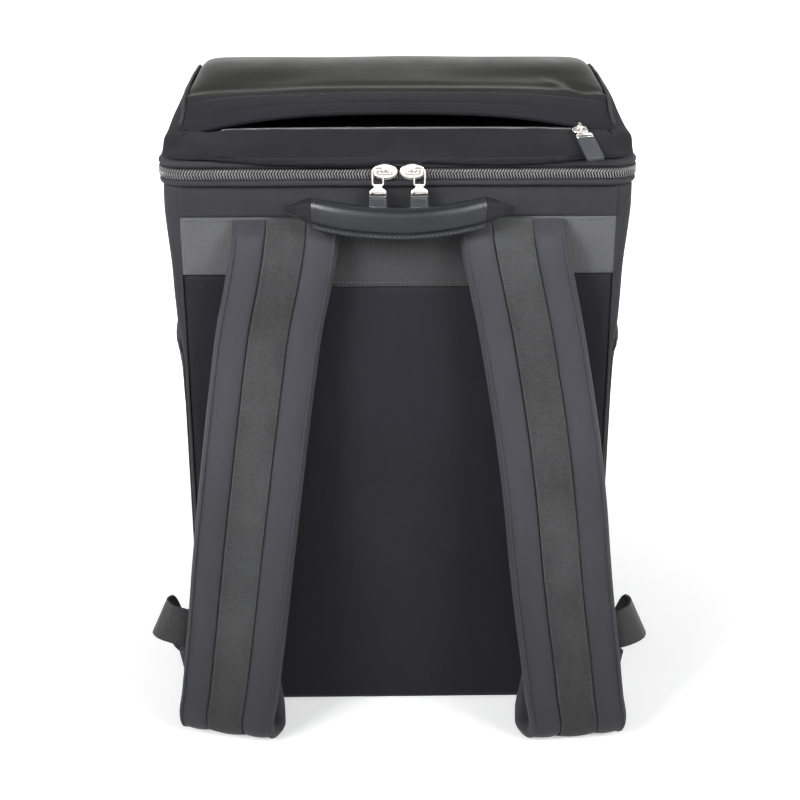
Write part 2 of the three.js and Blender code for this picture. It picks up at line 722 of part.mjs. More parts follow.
// The two main sliders meet at the middle of the back, and their rings hang from the bridges' outer ends.
function buildMainSliders() {
  const face = BACK_Y - RIM_BACK - CHAIN_PROUD - GAP;
  const level = CHAIN_Z + CHAIN_HEIGHT / 2 + SLIDER_RISE;
  const swingRoom = (RING_WIRE + BRIDGE) * Math.sin(THREE.MathUtils.degToRad(PULLER_SWING));
  const standOff = SLIDER_PLATE + SWING_CLEARANCE + RING_WIRE + swingRoom + SWING_CLEARANCE;
  const bridgeLength = SLIDER_LENGTH * 0.66;
  const axisOut = SLIDER_PLATE + SWING_CLEARANCE + RING_WIRE / 2;
  const axisUp = BRIDGE / 2 + GAP + RING_WIRE / 2;
  for (const [name, side] of [["left", -1], ["right", 1]]) {
    const at = (x, y, z) => {
      const origin = vec(side * (SLIDER_SPREAD / 2 + x), face - z, level + y);
      return hardwareFrame(origin, vec(1, 0, 0), vec(0, 0, 1), vec(0, -1, 0));
    };
    const plate = ovalPlate(SLIDER_LENGTH, SLIDER_WIDTH, SLIDER_PLATE);
    const body = fuse(plate, bridge(bridgeLength, standOff, false));
    add("slider_" + name, body, "nickel", at(0, 0, 0));
    const hang = at((bridgeLength - BRIDGE) / 2, axisUp, axisOut);
    add("puller_" + name, pullerMetal(RING_DROP), "nickel", hang);
    add("tab_" + name, pullerTab(RING_DROP, TAB_LENGTH), "rubber", hang);
  }
}

// The pocket's slider lies on the lid's back panel by the mouth, and its puller leans to the right.
function buildPocketSlider() {
  const side = POCKET_SLIDER_X / (RIM_HALF_WIDTH - RIM_CORNER);
  const upper = LOWER_PROFILE.at(-1);
  const lower = LOWER_PROFILE[2];
  const [high, low] = [lidPlace(upper, side), lidPlace(lower, side)];
  const slope = Math.atan2(high.z - low.z, high.forward - low.forward);
  const lean = THREE.MathUtils.degToRad(POCKET_PULL_LEAN);
  const uphill = vec(0, Math.cos(slope), Math.sin(slope));
  const out = vec(0, -Math.sin(slope), Math.cos(slope));
  const across = vec(Math.cos(lean), 0, 0).addScaledVector(uphill, Math.sin(lean));
  const up = out.clone().cross(across);
  const chordZ = high.z - (high.forward - POCKET_SLIDER_BACK) * Math.tan(slope);
  const seat = vec(POCKET_SLIDER_X, BACK_Y + POCKET_SLIDER_BACK, chordZ);
  const innerSide = (POCKET_SLIDER_X - CLAMP_WIDTH) / (RIM_HALF_WIDTH - RIM_CORNER);
  const bulges = LOWER_PROFILE.slice(2).map((row) => {
    const place = lidPlace(row, innerSide);
    return vec(seat.x, BACK_Y + place.forward, place.z).sub(seat).dot(out);
  });
  seat.addScaledVector(out, Math.max(...bulges) + GAP);
  const plate = SLIDER_PLATE * 0.7;
  const standOff = plate + SWING_CLEARANCE + RING_WIRE + SWING_CLEARANCE;
  const oval = ovalPlate(SLIDER_LENGTH * 0.6, SLIDER_WIDTH * 0.75, plate);
  const body = fuse(oval, bridge(POCKET_BRIDGE_LENGTH, standOff, true));
  const frame = hardwareFrame(seat, across, up, out);
  add("pocket_slider", body, "nickel", frame);
  const axisOut = plate + SWING_CLEARANCE + RING_WIRE / 2;
  const hang = frame.clone().multiply(new THREE.Matrix4().makeTranslation(0, 0, axisOut));
  add("pocket_puller", pullerMetal(POCKET_RING_DROP), "nickel", hang);
  add("pocket_tab", pullerTab(POCKET_RING_DROP, POCKET_TAB_LENGTH), "rubber", hang);
}

// Handle: a bowed grip with a sewn flange below, and folded ends that taper into the yoke.
function gripSection(height, thickness, flange) {
  const [h, t] = [height / 2, thickness / 2];
  return [
    [-h, -1.4], [-h + 2.5, -t * 0.8], [-h * 0.3, -t], [h * 0.5, -t * 0.95], [h * 0.9, -t * 0.5],
    [h, 0], [h * 0.9, t * 0.5], [h * 0.5, t * 0.95], [-h * 0.3, t], [-h + 2.5, t * 0.8],
    [-h, 1.4], [-h - flange, 1.2], [-h - flange, -1.2],
  ];
}

function buildHandle() {
  const frameAt = (share) => {
    const y = BACK_Y - GRIP_STAND_OFF + GRIP_BOW * share ** 2;
    const z = GRIP_LEVEL + GRIP_SAG * share ** 2;
    return { origin: vec(share * GRIP_HALF_LENGTH, y, z), across: vec(0, 0, 1), out: vec(0, -1, 0) };
  };
  const stations = Array.from({ length: 13 }, (_, i) => frameAt(lerp(-1, 1, i / 12)));
  const grip = sweep(stations, () => gripSection(GRIP_HEIGHT, GRIP_THICKNESS, GRIP_FLANGE));
  add("handle_grip", grip, "handleHide");

  const end = frameAt(1).origin;
  const tip = vec(WEB_TIP, BACK_Y - 2.2, TUB_HEIGHT - YOKE_HEIGHT + 3.5);
  const WEB_STATIONS = [
    { along: 0, size: 0.94 },
    { along: 0.3, size: 0.72 },
    { along: 0.65, size: 0.42 },
    { along: 1, size: 0.16 },
  ];
  const frames = WEB_STATIONS.map((row) => {
    const x = lerp(end.x + GAP, tip.x, row.along);
    const y = lerp(end.y, tip.y, row.along ** 0.8);
    const z = lerp(end.z, tip.z, row.along);
    return { origin: vec(x, y, z), across: vec(0, 0, 1), out: vec(0, -1, 0), size: row.size };
  });
  const section = (frame) => {
    const lift = GRIP_HEIGHT * (1 - frame.size) * 0.12;
    const outline = gripSection(GRIP_HEIGHT * frame.size, GRIP_THICKNESS * frame.size, 1);
    return outline.map(([a, b]) => [a + lift, b]);
  };
  addPair("handle_web", sweep(frames, section), "webbing");
}

// Shoulder straps: where the middle of the outer face runs, from the yoke's seam down to the curl.
// drop is a share of the height under the yoke, side of the panel's half width, out of the bag's depth.
const STRAP_ROUTES = {
  left: [
    { drop: 0.0, side: 0.513, out: 0.02, thickness: 0 },
    { drop: 0.012, side: 0.515, out: 0.048, thickness: 0.5 },
    { drop: 0.028, side: 0.518, out: 0.08, thickness: 1 },
    { drop: 0.065, side: 0.532, out: 0.1, thickness: 1 },
    { drop: 0.12, side: 0.56, out: 0.108, thickness: 1 },
    { drop: 0.19, side: 0.6, out: 0.119, thickness: 1 },
    { drop: 0.29, side: 0.64, out: 0.148, thickness: 1 },
    { drop: 0.4, side: 0.68, out: 0.182, thickness: 1 },
    { drop: 0.52, side: 0.722, out: 0.216, thickness: 1 },
    { drop: 0.63, side: 0.76, out: 0.247, thickness: 1 },
    { drop: 0.73, side: 0.793, out: 0.268, thickness: 1 },
    { drop: 0.82, side: 0.824, out: 0.285, thickness: 1 },
    { drop: 0.9, side: 0.853, out: 0.3, thickness: 1 },
  ],
  right: [
    { drop: 0.0, side: 0.52, out: 0.02, thickness: 0 },
    { drop: 0.012, side: 0.522, out: 0.052, thickness: 0.5 },
    { drop: 0.028, side: 0.525, out: 0.086, thickness: 1 },
    { drop: 0.065, side: 0.542, out: 0.106, thickness: 1 },
    { drop: 0.12, side: 0.574, out: 0.113, thickness: 1 },
    { drop: 0.19, side: 0.614, out: 0.125, thickness: 1 },
    { drop: 0.29, side: 0.661, out: 0.165, thickness: 1 },
    { drop: 0.4, side: 0.707, out: 0.206, thickness: 1 },
    { drop: 0.52, side: 0.748, out: 0.24, thickness: 1 },
    { drop: 0.63, side: 0.778, out: 0.27, thickness: 1 },
    { drop: 0.73, side: 0.81, out: 0.296, thickness: 1 },
    { drop: 0.82, side: 0.843, out: 0.319, thickness: 1 },
    { drop: 0.9, side: 0.869, out: 0.338, thickness: 1 },
  ],
};
const STRAP_TWIST = { left: 14, right: 6 }; // degrees that the lower end is turned outward

function strapPlaces(sideName) {
  const seam = TUB_HEIGHT - YOKE_HEIGHT - 2 * GAP;
  const route = STRAP_ROUTES[sideName];
  const places = route.map((row) => ({
    side: row.side * PANEL_HALF_WIDTH,
    out: row.out * BAG_DEPTH,
    z: seam * (1 - row.drop),
    thickness: lerp(STRAP_ROOT, STRAP_THICKNESS, row.thickness),
    twist: smooth(row.drop, 0.4, 1),
  }));
  const last = places.at(-1);
  const radius = STRAP_CURL_RADIUS;
  const centreOut = last.out - radius;
  const centreZ = STRAP_LOWEST + radius;
  const curlSide = last.side + 3;
  for (const degrees of [0, 30, 60, 90, 120, 150, 180]) {
    const angle = THREE.MathUtils.degToRad(degrees);
    places.push({
      side: curlSide,
      out: centreOut + radius * Math.cos(angle),
      z: centreZ - radius * Math.sin(angle),
      thickness: STRAP_CURL_THICKNESS,
      twist: 1,
    });
  }
  for (const share of [0.5, 1]) {
    places.push({
      side: curlSide - 2 * share,
      out: centreOut - radius - 2 * share,
      z: centreZ + STRAP_REAR_RISE * share,
      thickness: STRAP_CURL_THICKNESS,
      twist: 1 - 0.5 * share,
    });
  }
  return places;
}

function strapFrames(sideName) {
  const outward = sideName === "left" ? -1 : 1;
  const places = strapPlaces(sideName);
  const points = places.map((place) => vec(outward * place.side, BACK_Y - place.out, place.z));
  return points.map((origin, i) => {
    const next = points[Math.min(i + 1, points.length - 1)];
    const before = points[Math.max(i - 1, 0)];
    const tangent = next.clone().sub(before).normalize();
    const angle = outward * THREE.MathUtils.degToRad(STRAP_TWIST[sideName]) * places[i].twist;
    const across = vec(Math.cos(angle), Math.sin(angle), 0);
    const out = tangent.clone().cross(across).normalize();
    return { origin, across, out, thickness: places[i].thickness };
  });
}

// Two padded ribs with a groove between them for the webbing.
function padSection(frame) {
  const half = STRAP_WIDTH / 2;
  const groove = WEBBING_WIDTH / 2 + GAP;
  const rib = (half + groove) / 2;
  const floor = -WEBBING - GAP;
  const thickness = frame.thickness;
  const swell = thickness / STRAP_THICKNESS;
  const halfSection = [
    [groove, floor],
    [groove + 1, 0],
    [rib, RIB_RISE * swell],
    [half - 3.5, -0.6 * swell],
    [half, -thickness * 0.5],
    [half - 3, -thickness * 0.92],
    [groove, -thickness],
  ];
  return [...halfSection, ...halfSection.map(([a, b]) => [-a, b]).reverse()];
}

function webbingSection() {
  const half = WEBBING_WIDTH / 2;
  return [[half, -WEBBING], [half, -0.2], [half - 1, 0], [-half + 1, 0], [-half, -0.2], [-half, -WEBBING]];
}

// Ladder lock at the strap's lower end, behind the strap.
function buildLock(sideName, frames) {
  const end = frames.at(-1);
  const along = end.out.clone().cross(end.across).negate();
  const centre = end.origin.clone()
    .addScaledVector(end.out, -end.thickness / 2)
    .addScaledVector(along, LOCK_HEIGHT / 2 + 2 * GAP);
  const facing = end.across.clone().cross(along);
  const frame = new THREE.Matrix4().makeBasis(end.across, along, facing).setPosition(centre);
  add("ladder_lock_" + sideName, block(LOCK_WIDTH, LOCK_HEIGHT, LOCK_THICKNESS, 0, 0, 0), "buckle", frame);
  return { centre, across: end.across, along };
}

// Lower webbing: out from the lock, round a soft fold beside the bag, and back to the side seam.
const LOOP_ROUTE = [
  { from: 0.0, out: 0.0, z: 0.0, lean: 0 },
  { from: 0.3, out: 0.1, z: 0.02, lean: 0.3 },
  { from: 0.62, out: 0.12, z: 0.04, lean: 0.7 },
  { from: 0.9, out: 0.02, z: 0.05, lean: 1 },
  { from: 1.0, out: -0.2, z: 0.04, lean: 1 },
  { from: 0.93, out: -0.42, z: 0.02, lean: 1 },
];
const LOOP_REACH = 17; // middle of the fold, past the bag's side at the zip
const LOOP_FOLD_X = TUB_HALF_WIDTH + LOOP_REACH;
const LOOP_FOLD_Z = 78;
const LOOP_WIDTH = 29;
const LOOP_LEAN = 24; // degrees that the fold line leans
const LOOP_ANCHOR_Z = 52;

function buildLowerWeb(sideName, lock) {
  const outward = sideName === "left" ? -1 : 1;
  const start = lock.centre.clone()
    .addScaledVector(lock.across, outward * (LOCK_WIDTH / 2 + 2 * GAP))
    .addScaledVector(lock.along, (LOOP_WIDTH - LOCK_HEIGHT) / 2 + GAP);
  const lean = THREE.MathUtils.degToRad(LOOP_LEAN);
  const anchorX = tubHalfWidth(LOOP_ANCHOR_Z) + 2 * GAP;
  const anchor = vec(outward * anchorX, BACK_Y + 3, LOOP_ANCHOR_Z);
  const startDepth = BACK_Y - start.y;
  const places = LOOP_ROUTE.map((row) => ({
    x: lerp(Math.abs(start.x), LOOP_FOLD_X, row.from),
    depth: startDepth * (1 + row.out),
    z: lerp(start.z, LOOP_FOLD_Z, row.from) + row.z,
    lean: row.lean,
  }));
  const returning = { x: lerp(anchorX, LOOP_FOLD_X, 0.45), z: lerp(anchor.z, LOOP_FOLD_Z, 0.45) };
  places.push({ x: returning.x, depth: startDepth * 0.25, z: returning.z, lean: 0.6 });
  places.push({ x: anchorX, depth: -3, z: anchor.z, lean: 0 });
  const points = places.map((place) => vec(outward * place.x, BACK_Y - place.depth, place.z));
  const frames = points.map((origin, i) => {
    const next = points[Math.min(i + 1, points.length - 1)];
    const before = points[Math.max(i - 1, 0)];
    const tangent = next.clone().sub(before).normalize();
    const angle = lean * places[i].lean;
    const across = vec(-outward * Math.sin(angle), 0, Math.cos(angle));
    return { origin, across, out: tangent.cross(across).normalize() };
  });
  const [half, ply] = [LOOP_WIDTH / 2, WEBBING / 2];
  const section = [[half, ply], [-half, ply], [-half, -ply], [half, -ply]];
  add("lower_web_" + sideName, sweep(frames, () => section), "webbing");
}

function buildStraps() {
  for (const sideName of ["left", "right"]) {
    const frames = strapFrames(sideName);
    add("strap_pad_" + sideName, sweep(frames, padSection), "padCloth");
    add("strap_web_" + sideName, sweep(frames, webbingSection), "webbing");
    const lock = buildLock(sideName, frames);
    buildLowerWeb(sideName, lock);
  }
}

buildTub();
buildBackPanels();
buildSidePockets();
buildRimZip();
buildLidPad();
buildLidBackAndFront();
buildLidTop();
buildGussets();
buildPocketZip();
buildMainSliders();
buildPocketSlider();
buildHandle();
buildStraps();

export default bag;
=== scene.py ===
"""Looks of the cooler backpack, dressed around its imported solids.

The bag stands on z = 0 and its shoulder straps face -Y. Shapes are worked out in millimetres,
and become metres when a mesh is made.
"""

from __future__ import annotations

import logging
import math
from dataclasses import dataclass, field
from enum import Enum
from typing import Callable, Sequence

import bpy
import numpy as np
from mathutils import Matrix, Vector


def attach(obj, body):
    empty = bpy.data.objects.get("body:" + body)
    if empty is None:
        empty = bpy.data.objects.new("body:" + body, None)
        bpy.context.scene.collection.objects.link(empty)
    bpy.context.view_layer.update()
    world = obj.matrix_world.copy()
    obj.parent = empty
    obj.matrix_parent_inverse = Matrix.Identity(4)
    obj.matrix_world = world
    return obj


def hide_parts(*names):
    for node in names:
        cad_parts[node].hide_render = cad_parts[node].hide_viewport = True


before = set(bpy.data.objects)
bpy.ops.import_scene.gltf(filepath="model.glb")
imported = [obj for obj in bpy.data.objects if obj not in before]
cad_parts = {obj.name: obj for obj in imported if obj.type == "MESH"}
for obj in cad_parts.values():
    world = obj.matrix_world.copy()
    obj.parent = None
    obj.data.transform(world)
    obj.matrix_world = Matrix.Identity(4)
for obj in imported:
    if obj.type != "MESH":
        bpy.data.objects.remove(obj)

LOG = logging.getLogger("cooler_backpack")
MM = 0.001
TAU = 2 * math.pi
Array = np.ndarray
Colour = tuple[float, float, float]
Material = bpy.types.Material
Socket = bpy.types.NodeSocket

# Main sizes of the bag, the same as its solids have, in millimetres.
GAP = 0.3
BACK_Y = -88.0
FRONT_Y = 88.0
DEPTH = 176.0
TUB_HEIGHT = 384.5
TUB_HALF = 151.0
PANEL_HALF = 140.0
YOKE_FOOT = 364.0
BAND_FOOT = 326.0
LOWER_TAPE_Z = 384.8
CHAIN_Z = 389.1
CHAIN_HEIGHT = 7.2
UPPER_TAPE_Z = 396.6
UPPER_TAPE_HEIGHT = 4.4
LID_Z = 402.2
LID_HEIGHT = 43.1


# Small maths


def stacked(*parts: Array | float) -> Array:
    """Returns points from their x, y and z, or pairs from two measures."""
    return np.stack(np.broadcast_arrays(*parts), -1)


def unit(vectors: Array) -> Array:
    """Returns the vectors at length one, along their last axis."""
    return vectors / np.maximum(np.linalg.norm(vectors, axis=-1, keepdims=True), 1e-9)


def smooth(value: Array | float, low: float, high: float) -> Array:
    """Returns 0 below low, 1 above high and a soft step between."""
    share = np.clip((np.asarray(value, float) - low) / (high - low), 0, 1)
    return share * share * (3 - 2 * share)


def hump(value: Array | float, centre: float, width: float) -> Array:
    """Returns a soft bump of height 1 at centre."""
    return np.exp(-(((np.asarray(value, float) - centre) / width) ** 2))


def ripple(points: Array, wavelength: float, seed: int) -> Array:
    """Makes smooth uneven relief from a few crossing waves.

    Args:
        points: places in millimetres, with x, y, z on the last axis.
        wavelength: rough distance between crests in millimetres.
        seed: number that fixes the pattern.

    Returns:
        Heights of about -1 to 1, one for each point.
    """
    rng = np.random.default_rng(seed)
    total = np.zeros(points.shape[:-1])
    waves = 7
    for _ in range(waves):
        direction = unit(rng.normal(size=3))
        turns = TAU / wavelength * rng.uniform(0.6, 1.4)
        total += np.sin(points @ direction * turns + rng.uniform(0, TAU))
    return total / (0.5 * waves)


def curve_through(rows: Array, steps: Array) -> Array:
    """Reads a smooth curve that passes through every row of a table.

    Args:
        rows: (n, k) table, evenly spaced in the curve's own measure from 0 to 1.
        steps: places from 0 to 1, any shape.

    Returns:
        Values with the shape of steps plus k.
    """
    rows = np.asarray(rows, float)
    padded = np.vstack([2 * rows[0] - rows[1], rows, 2 * rows[-1] - rows[-2]])
    place = np.clip(np.asarray(steps, float), 0, 1) * (len(rows) - 1)
    index = np.minimum(place.astype(int), len(rows) - 2)
    t = (place - index)[..., None]
    a, b, c, d = (padded[index + k] for k in range(4))
    return 0.5 * (2 * b + (c - a) * t + (2 * a - 5 * b + 4 * c - d) * t**2 + (3 * b - a - 3 * c + d) * t**3)


def curve_by_length(rows: Array, steps: Array) -> Array:
    """Reads a smooth curve through uneven rows, measured by length.

    Args:
        rows: (n, k) table whose first three columns are a place.
        steps: shares of the curve's length, from 0 to 1.

    Returns:
        (m, k) values.
    """
    rows = np.asarray(rows, float)
    spans = np.maximum(np.linalg.norm(np.diff(rows[:, :3], axis=0), axis=1), 1e-6)
    at = np.concatenate([[0], np.cumsum(spans)])
    slopes = np.diff(rows, axis=0) / spans[:, None]
    tangents = np.empty_like(rows)
    tangents[0], tangents[-1] = slopes[0], slopes[-1]
    before, after = spans[:-1, None], spans[1:, None]
    tangents[1:-1] = (slopes[:-1] * after + slopes[1:] * before) / (before + after)
    want = np.clip(np.asarray(steps, float), 0, 1) * at[-1]
    index = np.clip(np.searchsorted(at, want, side="right") - 1, 0, len(spans) - 1)
    h = spans[index][:, None]
    t = (want - at[index])[:, None] / h
    p0, p1 = rows[index], rows[index + 1]
    m0, m1 = tangents[index] * h, tangents[index + 1] * h
    return (
        (2 * t**3 - 3 * t**2 + 1) * p0
        + (t**3 - 2 * t**2 + t) * m0
        + (3 * t**2 - 2 * t**3) * p1
        + (t**3 - t**2) * m1
    )


def arc(centre: tuple[float, float], radius: float, start: float, end: float, steps: int) -> Array:
    """Returns (steps + 1, 2) points on an arc, its angles in degrees."""
    angles = np.radians(np.linspace(start, end, steps + 1))
    return stacked(centre[0] + radius * np.cos(angles), centre[1] + radius * np.sin(angles))


def measured(points: Array) -> Array:
    """Returns the length along a line of points, from 0."""
    return np.concatenate([[0], np.cumsum(np.linalg.norm(np.diff(points, axis=0), axis=1))])


# Meshes


def linked(name: str, data: bpy.types.ID) -> bpy.types.Object:
    """Puts a new object in the scene."""
    new = bpy.data.objects.new(name, data)
    bpy.context.scene.collection.objects.link(new)
    return new


class MeshDraft:
    """Points, faces and cloth measures of one piece while it is put together."""

    def __init__(self) -> None:
        """Starts an empty draft."""
        self.points: list[Array] = []
        self.count = 0
        self.faces: list[list[int]] = []
        self.measures: list[Array] = []
        self.finishes: list[int] = []

    def add_points(self, points: Array) -> Array:
        """Adds points and returns their numbers in the same layout."""
        flat = np.asarray(points, float).reshape(-1, 3)
        numbers = np.arange(self.count, self.count + len(flat))
        self.points.append(flat)
        self.count += len(flat)
        return numbers.reshape(np.asarray(points).shape[:-1])

    def add_quads(self, numbers: Array, measure: Array, finish: int = 0, flip: bool = False) -> None:
        """Adds the faces of a grid of point numbers.

        Args:
            numbers: (rows, columns) point numbers.
            measure: (rows, columns, 2) cloth measure in millimetres.
            finish: number of the material.
            flip: turns the faces over.
        """
        corners = [(slice(None, -1), slice(None, -1)), (slice(None, -1), slice(1, None))]
        corners += [(slice(1, None), slice(1, None)), (slice(1, None), slice(None, -1))]
        if flip:
            corners.reverse()
        quads = np.stack([numbers[c] for c in corners], -1).reshape(-1, 4)
        laid = np.stack([measure[c] for c in corners], -2).reshape(-1, 4, 2)
        self.faces.extend(quads.tolist())
        self.measures.append(laid.reshape(-1, 2))
        self.finishes.extend([finish] * len(quads))

    def add_cap(self, ring: Array, finish: int, flip: bool) -> None:
        """Closes a ring of point numbers with one face."""
        numbers = ring[::-1] if flip else ring
        places = np.concatenate(self.points)[numbers]
        spread = np.argsort(np.ptp(places, axis=0))[-2:]
        self.faces.append(numbers.tolist())
        self.measures.append(places[:, spread])
        self.finishes.append(finish)

    def add_loft(self, rings: Array, finish: int = 0, along: Array | None = None, loop: bool = False) -> None:
        """Adds a closed solid through rings of points.

        Args:
            rings: (rows, around, 3) points.
            finish: number of the material.
            along: measure of each ring along the path, worked out where it is None.
            loop: joins the last ring to the first instead of capping both.
        """
        rings = np.asarray(rings, float)
        if loop:
            rings = np.concatenate([rings, rings[:1]])
        if along is None or loop:
            along = measured(rings.mean(1))
        around = np.linalg.norm(np.diff(np.concatenate([rings, rings[:, :1]], 1), axis=1), axis=2)
        around = np.concatenate([[0], np.cumsum(around.mean(0))])
        numbers = self.add_points(rings[:-1] if loop else rings)
        if loop:
            numbers = np.concatenate([numbers, numbers[:1]])
        numbers = np.concatenate([numbers, numbers[:, :1]], 1)
        measure = stacked(around[None, :], along[:, None])
        every = np.concatenate([rings, rings[:, :1]], 1)
        a, b, c, d = every[:-1, :-1], every[:-1, 1:], every[1:, 1:], every[1:, :-1]
        volume = (a * np.cross(b, c)).sum() + (a * np.cross(c, d)).sum()
        if not loop:
            for ring, sign in ((rings[0], -1), (rings[-1], 1)):
                middle = ring.mean(0)
                volume += sign * (middle * np.cross(ring, np.roll(ring, -1, axis=0))).sum()
        flip = bool(volume < 0)
        self.add_quads(numbers, measure, finish, flip)
        if not loop:
            self.add_cap(numbers[0, :-1], finish, not flip)
            self.add_cap(numbers[-1, :-1], finish, flip)

    def line_from(self, first: int) -> None:
        """Gives a loft's faces the second finish from a number on, but for its first cap."""
        self.finishes[first:] = [1] * (len(self.finishes) - first)
        self.finishes[-2] = 0

    def add_sheet(self, points: Array, thickness: Array | float, roll: float) -> None:
        """Adds a closed sheet of cloth with rolled edges.

        Args:
            points: (rows, columns, 3) outer side, whose columns x rows faces outwards.
            thickness: of the sheet in millimetres, one value or one per point.
            roll: how far the edges bulge, as a share of the thickness.
        """
        rows, columns = points.shape[:2]
        normals = grid_normals(points)
        thick = np.broadcast_to(np.asarray(thickness, float), (rows, columns))[..., None]
        under = points - normals * thick
        outer_numbers, inner_numbers = self.add_points(points), self.add_points(under)
        across = measured(points[rows // 2])
        along = measured(points[:, columns // 2])
        measure = stacked(across[None, :], along[:, None])
        self.add_quads(outer_numbers, measure)
        self.add_quads(inner_numbers, measure, flip=True)

        def edge(grid: Array) -> Array:
            return np.concatenate([grid[0, :-1], grid[:-1, -1], grid[-1, :0:-1], grid[:0:-1, 0]])

        line, low = edge(points), edge(under)
        normal, deep = edge(normals), edge(thick)
        tangent = unit(np.roll(line, -1, axis=0) - np.roll(line, 1, axis=0))
        outward = unit(np.cross(tangent, normal))
        middle = (line + low) / 2
        strip = [edge(inner_numbers)]
        for angle in np.radians([-50, -18, 18, 50]):
            lift = normal * deep / 2 * math.sin(angle) + outward * deep * roll * math.cos(angle)
            strip.append(self.add_points(middle + lift))
        strip.append(edge(outer_numbers))
        numbers = np.stack(strip)
        numbers = np.concatenate([numbers, numbers[:, :1]], 1)
        length = measured(np.concatenate([line, line[:1]]))
        down = np.linspace(0, 1, len(strip)) * deep.mean()
        self.add_quads(numbers, stacked(length[None, :], down[:, None]))

    def build(self, name: str, materials: Sequence[Material], sharp: float | None = None) -> bpy.types.Object:
        """Makes the Blender object of the draft.

        Args:
            name: of the piece.
            materials: in the order of the finish numbers.
            sharp: edges over this angle in degrees stay sharp.

        Returns:
            The new object, at the origin.
        """
        mesh = bpy.data.meshes.new(name)
        mesh.from_pydata((np.concatenate(self.points) * MM).tolist(), [], self.faces)
        layer = mesh.uv_layers.new(name="cloth")
        layer.data.foreach_set("uv", (np.concatenate(self.measures) * MM).astype(np.float32).ravel())
        for material in materials:
            mesh.materials.append(material)
        mesh.polygons.foreach_set("material_index", np.array(self.finishes, np.int32))
        mesh.polygons.foreach_set("use_smooth", np.ones(len(self.finishes), bool))
        if sharp is not None:
            mesh.set_sharp_from_angle(angle=math.radians(sharp))
        mesh.update()
        return linked(name, mesh)


def grid_normals(points: Array) -> Array:
    """Returns the outward directions of a grid whose columns x rows faces outwards."""
    return unit(np.cross(np.gradient(points, axis=1), np.gradient(points, axis=0)))


def raised(points: Array, relief: Array) -> Array:
    """Returns a grid moved outwards by a relief."""
    return points + grid_normals(points) * np.broadcast_to(relief, points.shape[:2])[..., None]


@dataclass
class Path:
    """A line with a direction across it and one out of it at each point."""

    origin: Array
    across: Array
    out: Array

    def rings(self, section: Array) -> Array:
        """Places a section on every point.

        Args:
            section: (around, 2) or (rows, around, 2) pairs of across and out, in millimetres.

        Returns:
            (rows, around, 3) points.
        """
        section = np.broadcast_to(section, (len(self.origin),) + np.asarray(section).shape[-2:])
        lifted = self.origin[:, None] + self.across[:, None] * section[..., :1]
        return lifted + self.out[:, None] * section[..., 1:]

    def shifted(self, across: Array | float, out: Array | float) -> Array:
        """Returns the line moved by distances across and out."""
        move = np.broadcast_to(np.asarray(across, float), len(self.origin))[:, None] * self.across
        return self.origin + move + np.broadcast_to(np.asarray(out, float), len(self.origin))[:, None] * self.out


def hanging(origin: Array) -> Path:
    """Returns a path whose sections stand upright and face away from the back."""
    return Path(origin, np.broadcast_to([0.0, 0, 1], origin.shape), np.broadcast_to([0.0, -1, 0], origin.shape))


def hoop(line: Array, section: Array) -> Array:
    """Sweeps a section round a flat closed line.

    Args:
        line: (n, 2) points.
        section: (around, 2) pairs of sideways and up.

    Returns:
        (n, around, 3) points.
    """
    line = stacked(line[:, 0], line[:, 1], 0.0)
    upward = np.array([0.0, 0.0, 1.0])
    sideways = np.cross(unit(np.roll(line, -1, axis=0) - np.roll(line, 1, axis=0)), upward)
    return line[:, None] + section[None, :, :1] * sideways[:, None] + section[None, :, 1:] * upward


def round_tube(line: Array, radius: float | Array, sides: int) -> Array:
    """Makes rings of a round tube along a line.

    Args:
        line: (n, 3) points.
        radius: one value or one for each point.
        sides: points in a ring.

    Returns:
        (n, sides, 3) points.
    """
    tangent = unit(np.gradient(line, axis=0))
    helper = np.array([0.0, 0.0, 1.0])
    if np.abs(tangent @ helper).max() > 0.9:
        upright = np.abs(tangent[:, 1]).max() < 0.9
        helper = np.array([0.0, 1.0, 0.0] if upright else [0.31, 0.2, 0.93])
    side = unit(np.cross(tangent, helper))
    up = np.cross(side, tangent)
    angles = np.linspace(0, TAU, sides, endpoint=False)
    radius = np.broadcast_to(np.asarray(radius, float), len(line))[:, None, None]
    ring = np.cos(angles)[None, :, None] * side[:, None] + np.sin(angles)[None, :, None] * up[:, None]
    return line[:, None] + ring * radius


def rounded_box_section(width: float, height: float, corner: float, steps: int = 3) -> Array:
    """Returns the outline of a rectangle with round corners, centred, as pairs."""
    x, y = width / 2 - corner, height / 2 - corner
    quarters = [arc((x, y), corner, 0, 90, steps), arc((-x, y), corner, 90, 180, steps)]
    quarters += [arc((-x, -y), corner, 180, 270, steps), arc((x, -y), corner, 270, 360, steps)]
    return np.concatenate(quarters)


def capsule_along(line: Array, radius: float, sides: int) -> Array:
    """Returns tube rings whose ends close in a dome."""
    ends = [0.35, 0.75, 0.94]
    tangent = unit(np.gradient(line, axis=0))
    lead = [line[0] - tangent[0] * radius * k for k in (1.0, 0.8, 0.4)]
    tail = [line[-1] + tangent[-1] * radius * k for k in (0.4, 0.8, 1.0)]
    full = np.vstack([lead, line, tail])
    sizes = np.concatenate([ends, np.ones(len(line)), ends[::-1]]) * radius
    return round_tube(full, sizes, sides)


# Finishes


class Board:
    """Lays out the nodes of a tree."""

    tree: bpy.types.NodeTree

    def node(self, kind: str, values: dict[object, object] | None = None, **settings: object) -> bpy.types.Node:
        """Adds a node.

        Args:
            kind: Blender's name of the node.
            values: input name or number to a socket or a plain value.
            settings: properties of the node.

        Returns:
            The node.
        """
        made = self.tree.nodes.new(kind)
        for key, value in settings.items():
            setattr(made, key, value)
        self.feed(made, values or {})
        return made

    def feed(self, node: bpy.types.Node, values: dict[object, object]) -> None:
        """Links or sets inputs of a node."""
        for key, value in values.items():
            if isinstance(value, Socket):
                self.tree.links.new(value, node.inputs[key])
            else:
                node.inputs[key].default_value = value


